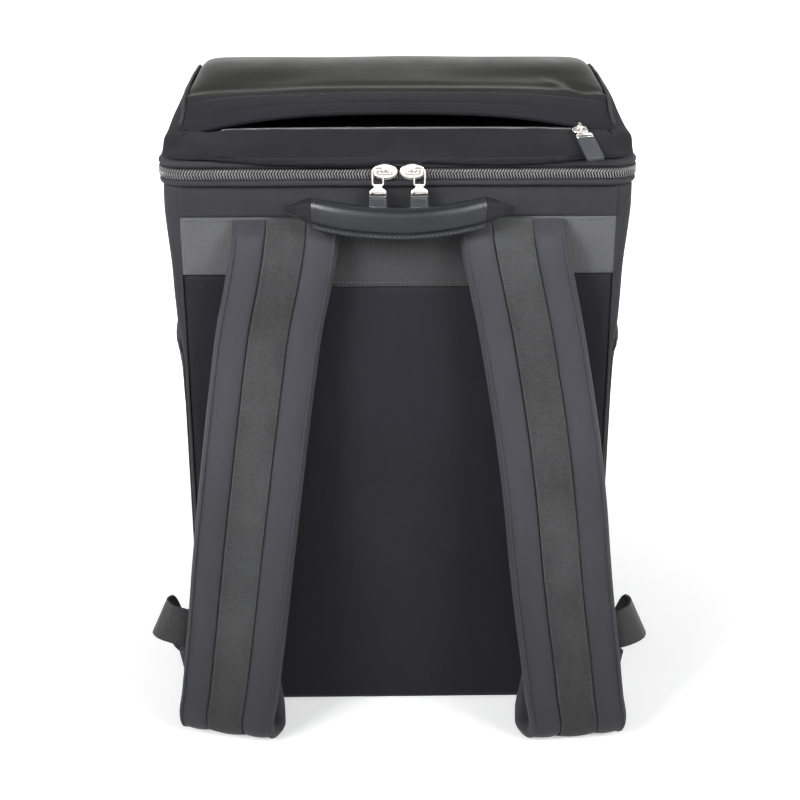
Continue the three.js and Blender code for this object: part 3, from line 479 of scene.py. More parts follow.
class NodeBoard(Board):
    """Lays out the nodes of one material."""

    def __init__(self, name: str, colour: Colour, roughness: float, metallic: float = 0.0) -> None:
        """Starts a material with one shader.

        Args:
            name: of the material.
            colour: plain colour that shows before a pattern is linked.
            roughness: plain roughness.
            metallic: 0 or 1.
        """
        self.material = bpy.data.materials.new(name)
        self.material.use_nodes = True
        self.material.diffuse_color = (*colour, 1)
        self.tree = self.material.node_tree
        self.shader = self.tree.nodes["Principled BSDF"]
        self.tune({"Base Color": (*colour, 1), "Roughness": roughness, "Metallic": metallic})

    def tune(self, values: dict[str, object]) -> None:
        """Links or sets inputs of the shader."""
        self.feed(self.shader, values)

    def maths(self, operation: str, *values: object) -> Socket:
        """Adds a maths node; each value is a number or a socket."""
        return self.node("ShaderNodeMath", dict(enumerate(values)), operation=operation).outputs[0]

    def weighted(self, *terms: tuple[object, float]) -> Socket:
        """Adds up sockets, each times its weight."""
        total: object = 0.0
        for source, weight in terms:
            total = self.maths("MULTIPLY_ADD", source, weight, total)
        return total

    def place(self) -> Socket:
        """Returns the place on the object, in metres."""
        return self.node("ShaderNodeTexCoord").outputs["Object"]

    def place_part(self, axis: str) -> Socket:
        """Returns the place along one axis of the object, in metres."""
        return self.node("ShaderNodeSeparateXYZ", {0: self.place()}).outputs[axis]

    def cloth_measure(self) -> tuple[Socket, Socket]:
        """Returns how far across and along the cloth a point is, in metres."""
        source = self.node("ShaderNodeUVMap", uv_map="cloth")
        split = self.node("ShaderNodeSeparateXYZ", {0: source.outputs["UV"]})
        return split.outputs["X"], split.outputs["Y"]

    def noise(self, spacing_mm: float, detail: float, stretch: Sequence[float] = (1, 1, 1)) -> Socket:
        """Adds noise whose blots are about spacing_mm apart, centred on 0."""
        place = self.node("ShaderNodeMapping", {"Scale": stretch, "Vector": self.place()}).outputs["Vector"]
        blots = self.node("ShaderNodeTexNoise", {"Scale": 1000.0 / spacing_mm, "Detail": detail, "Vector": place})
        return self.maths("SUBTRACT", blots.outputs["Fac"], 0.5)

    def wave(self, source: object, pitch_mm: float) -> Socket:
        """Adds a sine of a measure in metres."""
        return self.maths("SINE", self.maths("MULTIPLY", source, TAU / (pitch_mm * MM)))

    def worn_edges(self) -> Socket:
        """Returns how far a point stands out as an edge, from 0 to 1."""
        source = self.node("ShaderNodeNewGeometry").outputs["Pointiness"]
        return self.node_range(source, 0.52, 0.62)

    def node_range(self, source: Socket, low: float, high: float) -> Socket:
        """Spreads a range of values over 0 to 1."""
        return self.node("ShaderNodeMapRange", {"From Min": low, "From Max": high, "Value": source}).outputs["Result"]

    def paint(self, share: Socket, dark: Colour, light: Colour) -> None:
        """Mixes the base colour from dark to light."""
        values = {6: (*dark, 1), 7: (*light, 1), "Factor": share}
        mix = self.node("ShaderNodeMix", values, data_type="RGBA", clamp_factor=True)
        self.tune({"Base Color": mix.outputs[2]})

    def rough(self, base: float, *terms: tuple[object, float]) -> None:
        """Makes the roughness vary round its base."""
        self.tune({"Roughness": self.weighted(*terms, (1.0, base))})

    def bump(self, height: Socket, distance_mm: float, strength: float = 1.0) -> None:
        """Raises the surface by a height socket."""
        values = {"Distance": distance_mm * MM, "Strength": strength, "Height": height}
        self.tune({"Normal": self.node("ShaderNodeBump", values).outputs["Normal"]})


class Weave(Enum):
    """How a cloth's yarns cross."""

    PLAIN = "plain"
    TWILL = "twill"
    RIBBED = "ribbed"
    KNIT = "knit"


@dataclass(frozen=True)
class ClothFinish:
    """Woven cloth or webbing; where foot is set, darker towards the bottom as painted shade."""

    name: str
    dark: Colour
    light: Colour
    weave: Weave = Weave.PLAIN
    pitch_mm: float = 0.55
    relief_mm: float = 0.05
    roughness: float = 0.72
    sheen: float = 0.25
    fleck: float = 0.35
    cloud: float = 0.9
    specular: float = 0.35
    # foot: share of painted shade that darkens the cloth towards the bottom of the bag
    foot: float = 0.0

    def yarn_height(self, board: NodeBoard) -> Socket:
        """Returns the height of the yarns, from -1 to 1."""
        across, along = board.cloth_measure()
        if self.weave is Weave.TWILL:
            diagonal = board.wave(board.maths("ADD", across, along), self.pitch_mm)
            return board.weighted((diagonal, 0.7), (board.wave(along, self.pitch_mm * 0.5), 0.3))
        if self.weave is Weave.RIBBED:
            rows = board.wave(along, self.pitch_mm)
            columns = board.wave(across, self.pitch_mm * 0.8)
            return board.weighted((rows, 0.45), (board.maths("MULTIPLY", rows, columns), 0.55))
        if self.weave is Weave.KNIT:
            columns = board.wave(across, self.pitch_mm)
            rows = board.wave(along, self.pitch_mm * 1.3)
            return board.weighted((board.maths("ABSOLUTE", columns), 0.6), (rows, 0.4))
        return board.maths("MULTIPLY", board.wave(across, self.pitch_mm), board.wave(along, self.pitch_mm))

    def material(self) -> Material:
        """Makes the cloth's material."""
        board = NodeBoard(self.name, self.dark, self.roughness)
        yarns = self.yarn_height(board)
        grain = board.noise(0.9, 3)
        clouds = board.noise(70, 2)
        streaks = board.noise(9, 3, (1, 1, 0.25))
        share = board.weighted(
            (1.0, 0.42), (yarns, 0.16), (grain, self.fleck * 2),
            (clouds, self.cloud), (streaks, 0.35), (board.worn_edges(), 0.35),
        )
        # Painted shade: the cloth darkens from 0.22 m down to 0.02 m above the floor, by the share foot.
        if self.foot:
            painted_shade_lowness = board.node_range(board.place_part("Z"), 0.22, 0.02)
            share = board.weighted((share, 1.0), (painted_shade_lowness, -self.foot))
        board.paint(share, self.dark, self.light)
        board.rough(self.roughness, (clouds, 0.18), (grain, 0.2))
        board.bump(board.weighted((yarns, 1.0), (grain, 0.9), (streaks, 0.8)), self.relief_mm)
        board.tune({"Sheen Weight": self.sheen, "Sheen Roughness": 0.45, "Specular IOR Level": self.specular})
        return board.material


@dataclass(frozen=True)
class HideFinish:
    """Smooth imitation leather with a fine grain."""

    name: str
    dark: Colour
    light: Colour
    roughness: float = 0.45
    grain_mm: float = 1.1
    relief_mm: float = 0.03
    specular: float = 0.5

    def material(self) -> Material:
        """Makes the hide's material."""
        board = NodeBoard(self.name, self.dark, self.roughness)
        values = {"Scale": 1000.0 / self.grain_mm, "Vector": board.place()}
        cells = board.node("ShaderNodeTexVoronoi", values, feature="DISTANCE_TO_EDGE")
        pores = board.node_range(cells.outputs["Distance"], 0.0, 0.25)
        clouds = board.noise(60, 2)
        rub = board.noise(14, 3)
        share = board.weighted((1.0, 0.4), (pores, 0.18), (clouds, 0.8), (rub, 0.3), (board.worn_edges(), 0.4))
        board.paint(share, self.dark, self.light)
        board.rough(self.roughness, (clouds, 0.22), (rub, 0.18), (pores, -0.06))
        board.bump(board.weighted((pores, 1.0), (rub, 1.2)), self.relief_mm, 0.7)
        board.tune({"Specular IOR Level": self.specular})
        return board.material


@dataclass(frozen=True)
class MetalFinish:
    """Bright plated metal with hairline scratches."""

    name: str
    dark: Colour
    light: Colour
    roughness: float = 0.16

    def material(self) -> Material:
        """Makes the metal's material."""
        board = NodeBoard(self.name, self.light, self.roughness, 1.0)
        clouds = board.noise(4, 2)
        lines = board.noise(0.35, 2, (1, 1, 6))
        share = board.weighted((1.0, 0.75), (clouds, 0.7), (lines, 0.4))
        board.paint(share, self.dark, self.light)
        board.rough(self.roughness, (clouds, 0.15), (lines, 0.18))
        board.bump(lines, 0.01, 0.4)
        return board.material


@dataclass(frozen=True)
class MouldedFinish:
    """Moulded rubber or plastic."""

    name: str
    dark: Colour
    light: Colour
    roughness: float = 0.6
    speckle_mm: float = 0.5
    specular: float = 0.4

    def material(self) -> Material:
        """Makes the moulding's material."""
        board = NodeBoard(self.name, self.dark, self.roughness)
        speckle = board.noise(self.speckle_mm, 3)
        clouds = board.noise(12, 2)
        share = board.weighted((1.0, 0.45), (speckle, 0.5), (clouds, 0.5), (board.worn_edges(), 0.5))
        board.paint(share, self.dark, self.light)
        board.rough(self.roughness, (speckle, 0.25), (clouds, 0.15))
        board.bump(speckle, 0.03, 0.6)
        board.tune({"Specular IOR Level": self.specular})
        return board.material


@dataclass(frozen=True)
class BandFinish:
    """Wide webbing across the back, lighter at its ends and darker between the straps: partly its own heather, partly
    painted shade under the handle.
    """

    name: str
    dark: Colour
    light: Colour
    shaded_middle_mm: float = 84.0

    def material(self) -> Material:
        """Makes the band's material."""
        board = NodeBoard(self.name, self.dark, 0.78)
        across, along = board.cloth_measure()
        ribs = board.wave(across, 1.7)
        picks = board.wave(along, 0.9)
        yarns = board.weighted((board.maths("MULTIPLY", ribs, picks), 0.6), (ribs, 0.4))
        grain = board.noise(0.8, 3)
        clouds = board.noise(60, 2)
        # Painted light and shade: the ends are lighter and the middle between the straps darker, partly the webbing's
        # own heather.
        aside = board.maths("ABSOLUTE", board.place_part("X"))
        ends = board.node_range(aside, (self.shaded_middle_mm - 6) * MM, (self.shaded_middle_mm + 6) * MM)
        share = board.weighted((1.0, 0.12), (ends, 0.6), (yarns, 0.14), (grain, 0.9), (clouds, 0.3))
        board.paint(share, self.dark, self.light)
        board.rough(0.78, (grain, 0.2), (clouds, 0.1))
        board.bump(board.weighted((yarns, 1.0), (grain, 0.8)), 0.09)
        board.tune({"Sheen Weight": 0.2})
        return board.material


def made(finish: ClothFinish | HideFinish | MetalFinish | MouldedFinish | BandFinish) -> Material:
    """Returns a dataclass field that makes a finish's material."""
    return field(default_factory=finish.material)


@dataclass
class Finishes:
    """Every material of the bag, made once."""

    charcoal: Material = made(
        ClothFinish("charcoal cloth", (0.013, 0.013, 0.016), (0.038, 0.038, 0.046), sheen=0.12, specular=0.25)
    )
    # Lid cloth: the charcoal cloth painted darker and with less sheen, as painted shade on the lid.
    lid: Material = made(
        ClothFinish("lid cloth with painted shade", (0.0065, 0.0065, 0.0085), (0.02, 0.02, 0.026), sheen=0.04, specular=0.14)
    )
    gusset: Material = made(
        ClothFinish("side cloth", (0.011, 0.011, 0.014), (0.03, 0.03, 0.036), sheen=0.12, specular=0.25)
    )
    back: Material = made(
        ClothFinish(
            "back panel cloth", (0.006, 0.006, 0.009), (0.018, 0.018, 0.024), Weave.KNIT,
            pitch_mm=0.8, roughness=0.8, sheen=0.08, specular=0.2,
        )
    )
    sleek: Material = made(
        HideFinish("sleek hide", (0.01, 0.01, 0.0086), (0.028, 0.029, 0.0245), 0.4, specular=0.18)
    )
    handle: Material = made(
        HideFinish("handle hide", (0.007, 0.008, 0.01), (0.018, 0.019, 0.024), 0.38, specular=0.4)
    )
    # Pad cloth: its foot share paints shade onto the strap pads towards the bottom.
    pad: Material = made(
        ClothFinish(
            "pad cloth", (0.022, 0.022, 0.028), (0.05, 0.05, 0.062),
            pitch_mm=0.5, roughness=0.62, sheen=0.1, fleck=0.2, foot=0.5,
        )
    )
    # Heather webbing: its foot share paints shade onto the webbing towards the bottom.
    webbing: Material = made(
        ClothFinish(
            "heather webbing", (0.017, 0.017, 0.018), (0.074, 0.075, 0.077), Weave.RIBBED,
            pitch_mm=1.5, relief_mm=0.2, sheen=0.1, fleck=0.9, cloud=1.5, foot=0.3,
        )
    )
    loop: Material = made(
        ClothFinish(
            "black webbing", (0.005, 0.005, 0.006), (0.02, 0.02, 0.023), Weave.RIBBED,
            pitch_mm=1.5, relief_mm=0.16, roughness=0.4, sheen=0.02, specular=0.45,
        )
    )
    # Back band: its darker middle is partly painted shade under the handle.
    band: Material = made(BandFinish("back band webbing", (0.011, 0.011, 0.012), (0.115, 0.115, 0.124)))
    tape: Material = made(
        ClothFinish(
            "zip tape", (0.005, 0.005, 0.006), (0.014, 0.014, 0.015), Weave.TWILL,
            pitch_mm=0.7, relief_mm=0.06, roughness=0.7, sheen=0.05,
        )
    )
    coil: Material = made(MouldedFinish("zip coil", (0.035, 0.035, 0.035), (0.24, 0.24, 0.24), 0.2, 0.7, 1.0))
    liner: Material = made(ClothFinish("lining", (0.22, 0.225, 0.23), (0.4, 0.41, 0.42), roughness=0.5, sheen=0.1))
    nickel: Material = made(MetalFinish("bright nickel", (0.68, 0.64, 0.61), (0.92, 0.89, 0.86)))
    rubber: Material = made(MouldedFinish("slate rubber", (0.034, 0.036, 0.044), (0.078, 0.081, 0.094), 0.62))
    buckle: Material = made(MouldedFinish("buckle plastic", (0.015, 0.015, 0.018), (0.045, 0.045, 0.05), 0.5))
    thread: Material = made(ClothFinish("thread", (0.04, 0.04, 0.044), (0.13, 0.13, 0.138), Weave.TWILL, 0.5))
    dark_thread: Material = made(
        ClothFinish("dark thread", (0.01, 0.01, 0.012), (0.035, 0.035, 0.04), Weave.TWILL, 0.5)
    )


# Repeated parts, made by geometry nodes


class TreeBoard(Board):
    """Lays out a geometry node tree with named inputs."""

    def __init__(self, name: str) -> None:
        """Starts a tree that takes and gives geometry."""
        self.tree = bpy.data.node_groups.new(name, "GeometryNodeTree")
        self.tree.interface.new_socket("Lines", in_out="INPUT", socket_type="NodeSocketGeometry")
        self.tree.interface.new_socket("Made", in_out="OUTPUT", socket_type="NodeSocketGeometry")
        self.start = self.tree.nodes.new("NodeGroupInput")
        self.end = self.tree.nodes.new("NodeGroupOutput")

    def number(self, name: str) -> None:
        """Adds a named number input."""
        self.tree.interface.new_socket(name, in_out="INPUT", socket_type="NodeSocketFloat")

    def material(self, name: str) -> None:
        """Adds a named material input."""
        self.tree.interface.new_socket(name, in_out="INPUT", socket_type="NodeSocketMaterial")

    def scattered(self, shape: Socket, points: bpy.types.Node, turn: Socket) -> None:
        """Puts the shape on the points, makes it real and gives it the material."""
        put = self.node(
            "GeometryNodeInstanceOnPoints",
            {"Points": points.outputs["Points"], "Instance": shape, "Rotation": turn},
        )
        real = self.node("GeometryNodeRealizeInstances", {"Geometry": put.outputs[0]})
        smooth_faces = self.node("GeometryNodeSetShadeSmooth", {"Geometry": real.outputs[0]})
        finish = self.node(
            "GeometryNodeSetMaterial",
            {"Geometry": smooth_faces.outputs[0], "Material": self.start.outputs["Finish"]},
        )
        self.tree.links.new(finish.outputs[0], self.end.inputs[0])


@dataclass(frozen=True)
class Beads:
    """Long beads laid in a row: stitches, or the turns of a coil. Sizes in millimetres."""

    pitch: float
    half_length: float
    radius: float
    lean: float = 1.0
    upright: float = 1.0
    segments: int = 8

    def tree(self) -> bpy.types.GeometryNodeTree:
        """Makes the tree that lays the beads along lines."""
        board = TreeBoard("beads along lines")
        start = board.start.outputs
        for name in ("Pitch", "Half Length", "Radius", "Lean"):
            board.number(name)
        board.material("Finish")
        lines = board.node("GeometryNodeMeshToCurve", {"Mesh": start["Lines"]})
        places = {"Curve": lines.outputs[0], "Length": start["Pitch"]}
        points = board.node("GeometryNodeCurveToPoints", places, mode="LENGTH")
        bead = board.node("GeometryNodeMeshUVSphere", {"Segments": self.segments, "Rings": 6, "Radius": 1.0})
        sizes = {0: start["Radius"], 1: start["Radius"], 2: start["Half Length"]}
        size = board.node("ShaderNodeCombineXYZ", sizes)
        shape = board.node("GeometryNodeTransform", {"Geometry": bead.outputs["Mesh"], "Scale": size.outputs[0]})
        tangent = {0: points.outputs["Tangent"], "Scale": start["Lean"]}
        lean = board.node("ShaderNodeVectorMath", tangent, operation="SCALE")
        way = board.node("ShaderNodeVectorMath", {0: lean.outputs[0], 1: (0, 0, self.upright)}, operation="ADD")
        turn = board.node("FunctionNodeAlignRotationToVector", {"Vector": way.outputs[0]}, axis="Z")
        board.scattered(shape.outputs[0], points, turn.outputs[0])
        return board.tree

    def laid(self, name: str, lines: Sequence[Array], finish: Material) -> bpy.types.Object:
        """Runs the tree on lines and keeps the result as a plain mesh.

        Args:
            name: of the piece.
            lines: each (n, 3), in millimetres.
            finish: material of the beads.

        Returns:
            The piece, at the origin.
        """
        mesh = bpy.data.meshes.new(name + " lines")
        edges, start = [], 0
        for line in lines:
            edges += [(start + i, start + i + 1) for i in range(len(line) - 1)]
            start += len(line)
        mesh.from_pydata((np.concatenate(list(lines)) * MM).tolist(), edges, [])
        guide = linked(name + " guide", mesh)
        modifier = guide.modifiers.new("rows", "NODES")
        modifier.node_group = self.tree()
        inputs = {"Pitch": self.pitch * MM, "Half Length": self.half_length * MM, "Radius": self.radius * MM}
        inputs |= {"Lean": self.lean, "Finish": finish}
        for item in modifier.node_group.interface.items_tree:
            if item.in_out == "INPUT" and item.name in inputs:
                modifier[item.identifier] = inputs[item.name]
        evaluated = guide.evaluated_get(bpy.context.evaluated_depsgraph_get())
        made_mesh = bpy.data.meshes.new_from_object(evaluated)
        guide.modifiers.remove(modifier)
        bpy.data.objects.remove(guide)
        bpy.data.meshes.remove(mesh)
        made_mesh.name = name
        if "cloth" not in made_mesh.uv_layers:
            made_mesh.uv_layers.new(name="cloth")
        return linked(name, made_mesh)


STITCHES = Beads(2.9, 1.1, 0.3, upright=0.0, segments=6)


@dataclass
class Seamwork:
    """Collects rows of stitches, and sews each kind of them at the end."""

    light: list[Array] = field(default_factory=list)
    dark: list[Array] = field(default_factory=list)

    def sew(self, finishes: Finishes) -> None:
        """Makes the stitches of the bag."""
        settle(STITCHES.laid("stitches_light", self.light, finishes.thread), "bag", "pad_cloth")
        settle(STITCHES.laid("stitches_dark", self.dark, finishes.dark_thread), "bag", "pad_cloth")


def settle(piece: bpy.types.Object, body: str, slot: str, *nodes: str) -> None:
    """Lets a finished piece ride on a body and stand for its solids.

    Args:
        piece: the finished piece.
        body: name of the body that carries it.
        slot: the record's material slot, not used.
        nodes: solids that it replaces.
    """
    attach(piece, body)
    if nodes:
        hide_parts(*nodes)
    LOG.info("made %s with %d faces", piece.name, len(piece.data.polygons))


def sewn(
    name: str, finish: Material, points: Array, thickness: Array | float, roll: float, slot: str, *nodes: str
) -> None:
    """Makes a piece of one sheet of cloth, which rides on the bag.

    Args:
        name: of the piece.
        finish: its material.
        points: (rows, columns, 3) outer side.
        thickness: of the sheet, one value or one per point.
        roll: how far its edges bulge, as a share of the thickness.
        slot: the record's material slot.
        nodes: solids that it replaces.
    """
    draft = MeshDraft()
    draft.add_sheet(points, thickness, roll)
    settle(draft.build(name, [finish]), "bag", slot, *nodes)


@dataclass
class Inflation:
    """Air pressure that swells a padded piece between its held seams."""

    pressure: float
    most_mm: float
    frames: int = 16
    relax: int = 2
    quality: int = 6
    mass: float = 0.3
    stretch: float = 25.0
    shear: float = 12.0
    bend: float = 2.0

    def swell(self, piece: bpy.types.Object, held: Array) -> None:
        """Runs a cloth simulation and keeps its result in the mesh.

        Args:
            piece: closed mesh of the pad.
            held: 1 for each point that stays put, 0 for a free one.
        """
        scene = bpy.context.scene
        group = piece.vertex_groups.new(name="held")
        for level in np.unique(np.round(held, 1)):
            if level > 0:
                numbers = np.nonzero(np.round(held, 1) == level)[0].tolist()
                group.add(numbers, float(level), "REPLACE")
        modifier = piece.modifiers.new("air", "CLOTH")
        cloth = modifier.settings
        cloth.quality, cloth.mass = self.quality, self.mass
        cloth.tension_stiffness = cloth.compression_stiffness = self.stretch
        cloth.shear_stiffness, cloth.bending_stiffness = self.shear, self.bend
        cloth.use_pressure = True
        cloth.uniform_pressure_force = self.pressure
        cloth.effector_weights.gravity = 0
        cloth.vertex_group_mass = "held"
        modifier.collision_settings.use_collision = False
        modifier.point_cache.frame_start = 1
        modifier.point_cache.frame_end = self.frames
        for step in range(1, self.frames + 1):
            scene.frame_set(step)
        evaluated = piece.evaluated_get(bpy.context.evaluated_depsgraph_get())
        count = len(piece.data.vertices)
        rest, blown = np.empty(count * 3), np.empty(count * 3)
        piece.data.vertices.foreach_get("co", rest)
        evaluated.data.vertices.foreach_get("co", blown)
        rest, blown = rest.reshape(-1, 3), blown.reshape(-1, 3)
        move = blown - rest
        length = np.linalg.norm(move, axis=1, keepdims=True)
        move *= np.minimum(1, self.most_mm * MM / np.maximum(length, 1e-9))
        piece.modifiers.remove(modifier)
        piece.vertex_groups.remove(group)
        edges = np.empty(len(piece.data.edges) * 2, np.int64)
        piece.data.edges.foreach_get("vertices", edges)
        edges = edges.reshape(-1, 2)
        degree = np.bincount(edges.ravel(), minlength=count)[:, None]
        for _ in range(self.relax):
            total = np.zeros_like(move)
            np.add.at(total, edges[:, 0], move[edges[:, 1]])
            np.add.at(total, edges[:, 1], move[edges[:, 0]])
            move = move * 0.4 + total / degree * 0.6
        piece.data.vertices.foreach_set("co", (rest + move).ravel())
        piece.data.update()
        scene.frame_set(1)
        LOG.info("%s swelled by up to %.1f mm", piece.name, float(np.linalg.norm(move, axis=1).max()) / MM)


def mirror_grid(points: Array) -> Array:
    """Returns a grid on the other side of the bag, still facing outwards."""
    return points[:, ::-1] * np.array([-1.0, 1.0, 1.0])


def face_grid(across: Array, rise: Array, place: Callable[[Array, Array], Array]) -> Array:
    """Returns place(u, v) on a grid with v on the rows and u on the columns."""
    u, v = np.meshgrid(across, rise)
    return place(u, v)


# Tub


@dataclass
class Tub:
    """Padded tub, open at the top, with its lining."""

    finishes: Finishes
    wall: float = 7.0
    floor: float = 8.0
    base_round: float = 3.0
    front_corner: float = 20.0
    inner_corner: float = 12.0
    recess: float = 3.3
    seam: float = PANEL_HALF + GAP
    front_bulge: float = 3.0
    widths: tuple[tuple[float, float], ...] = (
        (0.0, 0.944), (0.7, 0.944), (0.75, 0.968), (0.86, 0.976), (0.96, 1.0), (1.0, 1.0),
    )

    def half_width(self, z: Array | float) -> Array:
        """Returns the tub's half width at a height."""
        heights, shares = np.array(self.widths).T
        levels = np.arange(-12.0, TUB_HEIGHT + 13.0, 1.0)
        widths = np.interp(levels / TUB_HEIGHT, heights, shares) * TUB_HALF
        soft = np.convolve(widths, np.ones(13) / 13, "same")
        soft[:6], soft[-6:] = widths[:6], widths[-6:]
        return np.interp(z, levels, soft)

    def outline(self, z: float, inset: float, outside: bool) -> Array:
        """Makes one level of the tub.

        Args:
            z: height.
            inset: distance inside the outer face.
            outside: the outer face, with the recess of the back panels.

        Returns:
            (around, 3) points.
        """
        half = float(self.half_width(z)) - inset
        back, front = BACK_Y + inset, FRONT_Y - inset
        back_turn = half - self.seam + inset if outside else self.inner_corner
        front_turn = self.front_corner - inset if outside else self.inner_corner
        seam = half - back_turn
        lead = stacked(np.linspace(0, seam, 8), back + (self.recess if outside else 0.0))
        turn = arc((seam, back + back_turn), back_turn, -90, 0, 8)
        side = stacked(half, np.linspace(back + back_turn, front - front_turn, 14)[1:-1])
        corner = arc((half - front_turn, front - front_turn), front_turn, 0, 90, 9)
        tail = stacked(np.linspace(half - front_turn, 0, 12)[1:], front)
        right = np.concatenate([lead, turn, side, corner, tail])
        left = right[-2:0:-1] * [-1, 1]
        line = np.concatenate([right, left])
        return np.concatenate([line, np.full((len(line), 1), z)], 1)

    def build(self) -> None:
        """Makes the tub and lets it stand for its solid."""
        rings = []
        for angle in np.radians([90, 72, 54, 36, 18, 0]):
            inset = self.base_round * (1 - math.cos(angle))
            rings.append(self.outline(self.base_round * (1 - math.sin(angle)), inset, True))
        levels = np.linspace(self.base_round, TUB_HEIGHT - 1.2, 52)[1:]
        rings += [self.outline(z, 0.0, True) for z in levels]
        rings += [self.outline(TUB_HEIGHT - 0.4, 0.4, True), self.outline(TUB_HEIGHT, 1.4, True)]
        outside = np.array(rings)
        bulged = outside[..., 1] > 60
        share = 1 - (outside[..., 0] / TUB_HALF) ** 2
        swell = self.front_bulge * share * np.sin(math.pi * np.clip(outside[..., 2] / TUB_HEIGHT, 0, 1)) ** 0.6
        outside[..., 1] += np.where(bulged, swell + 0.7 * ripple(outside, 90, 3) * share, 0)
        side = smooth(np.abs(outside[..., 0]), 132, 145) * smooth(outside[..., 2], 290, 320)
        outside[..., 0] += np.sign(outside[..., 0]) * side * 0.5 * ripple(outside, 70, 4)
        depths = [TUB_HEIGHT, TUB_HEIGHT - 1.5, *np.linspace(TUB_HEIGHT - 20, self.floor + 6, 14)]
        depths += [self.floor + 1, self.floor]
        inside = np.array([self.outline(z, self.wall if z > self.floor else self.wall + 4, False) for z in depths])
        draft = MeshDraft()
        draft.add_loft(np.concatenate([outside, inside]))
        draft.line_from(len(outside) * outside.shape[1])
        piece = draft.build("tub", [self.finishes.charcoal, self.finishes.liner], sharp=50)
        settle(piece, "bag", "charcoal_cloth", "body_shell")


@dataclass
class BackPanels:
    """Padded back panel, webbing band and yoke, sewn on the back."""

    finishes: Finishes
    seamwork: Seamwork
    thickness: float = 3.0
    crown: float = 2.5
    foot: float = 1.2
    dip: float = 8.5

    def flat_grid(self, foot: float, top: float, columns: int, rows: int, dips: tuple[int, int] = (0, 0)) -> Array:
        """Makes an even upright grid in the panel's plane.

        Args:
            foot: height of its lower edge.
            top: height of its upper edge.
            columns: cells across.
            rows: cells up.
            dips: 1 where the lower or the upper edge dips between the straps.

        Returns:
            (rows + 1, columns + 1, 3) points.
        """

        def place(x: Array, v: Array) -> Array:
            drop = self.dip * (1 - smooth(np.abs(x), 62, 96))
            low, high = foot - dips[0] * drop, top - dips[1] * drop
            return stacked(x, BACK_Y, low + (high - low) * v)

        return face_grid(np.linspace(-PANEL_HALF, PANEL_HALF, columns + 1), np.linspace(0, 1, rows + 1), place)

    def cushion(self) -> None:
        """Makes the padded back panel."""
        foot, top = self.foot, BAND_FOOT - GAP
        points = self.flat_grid(foot, top, 88, 100, (0, 1))
        x, z, top = points[..., 0], points[..., 2], points[-1:, :, 2]
        crown = np.sin(math.pi * (x / PANEL_HALF + 1) / 2) * np.sin(math.pi * (z - foot) / (top - foot))
        edge = np.minimum(PANEL_HALF - np.abs(x), np.minimum(z - foot, top - z))
        relief = self.crown * crown - 1.1 * hump(edge, 0, 2.2)
        relief += 0.35 * ripple(points, 80, 11) * smooth(edge, 4, 30)
        points[..., 1] -= relief
        draft = MeshDraft()
        draft.add_sheet(points, self.thickness + relief, roll=0.12)
        piece = draft.build("back_cushion", [self.finishes.back])
        held = np.ones(draft.count)
        free = smooth(edge, 3, 22)
        held[: free.size] = 1 - free.ravel()
        Inflation(pressure=3.0, most_mm=1.4).swell(piece, held)
        settle(piece, "bag", "back_cloth", "back_panel")

    def band(self) -> None:
        """Makes the webbing band and its rows of stitches."""
        top = YOKE_FOOT - GAP
        points = self.flat_grid(BAND_FOOT, top, 96, 22, (1, 0))
        z = points[..., 2]
        edge = np.minimum(z - points[:1, :, 2], top - z)
        relief = 0.5 - 0.45 * hump(edge, 2.4, 0.9) + 0.16 * ripple(points, 45, 12)
        points[..., 1] -= relief
        sewn("back_band_webbing", self.finishes.band, points, self.thickness + relief, 0.12, "webbing", "back_band")
        for row, rise in ((0, 2.4), (-1, -2.4)):
            self.seamwork.light.append(stacked(points[row, 1:-1, 0], BACK_Y - 0.45, points[row, 1:-1, 2] + rise))

    def yoke(self) -> None:
        """Makes the smooth strip above the band."""
        points = self.flat_grid(YOKE_FOOT, TUB_HEIGHT, 80, 16)
        x, z = points[..., 0], points[..., 2]
        height = (z - YOKE_FOOT) / (TUB_HEIGHT - YOKE_FOOT)
        relief = 0.4 + 1.0 * np.sin(math.pi * height) ** 0.7 + 0.25 * ripple(points, 50, 13) * height
        relief += 0.5 * hump(height, 0.08, 0.1)
        points[..., 1] -= relief
        thick = self.thickness + relief
        sewn("yoke_cloth", self.finishes.charcoal, points, thick, 0.15, "charcoal_cloth", "yoke_panel")

    def build(self) -> None:
        """Makes the three panels."""
        self.cushion()
        self.band()
        self.yoke()


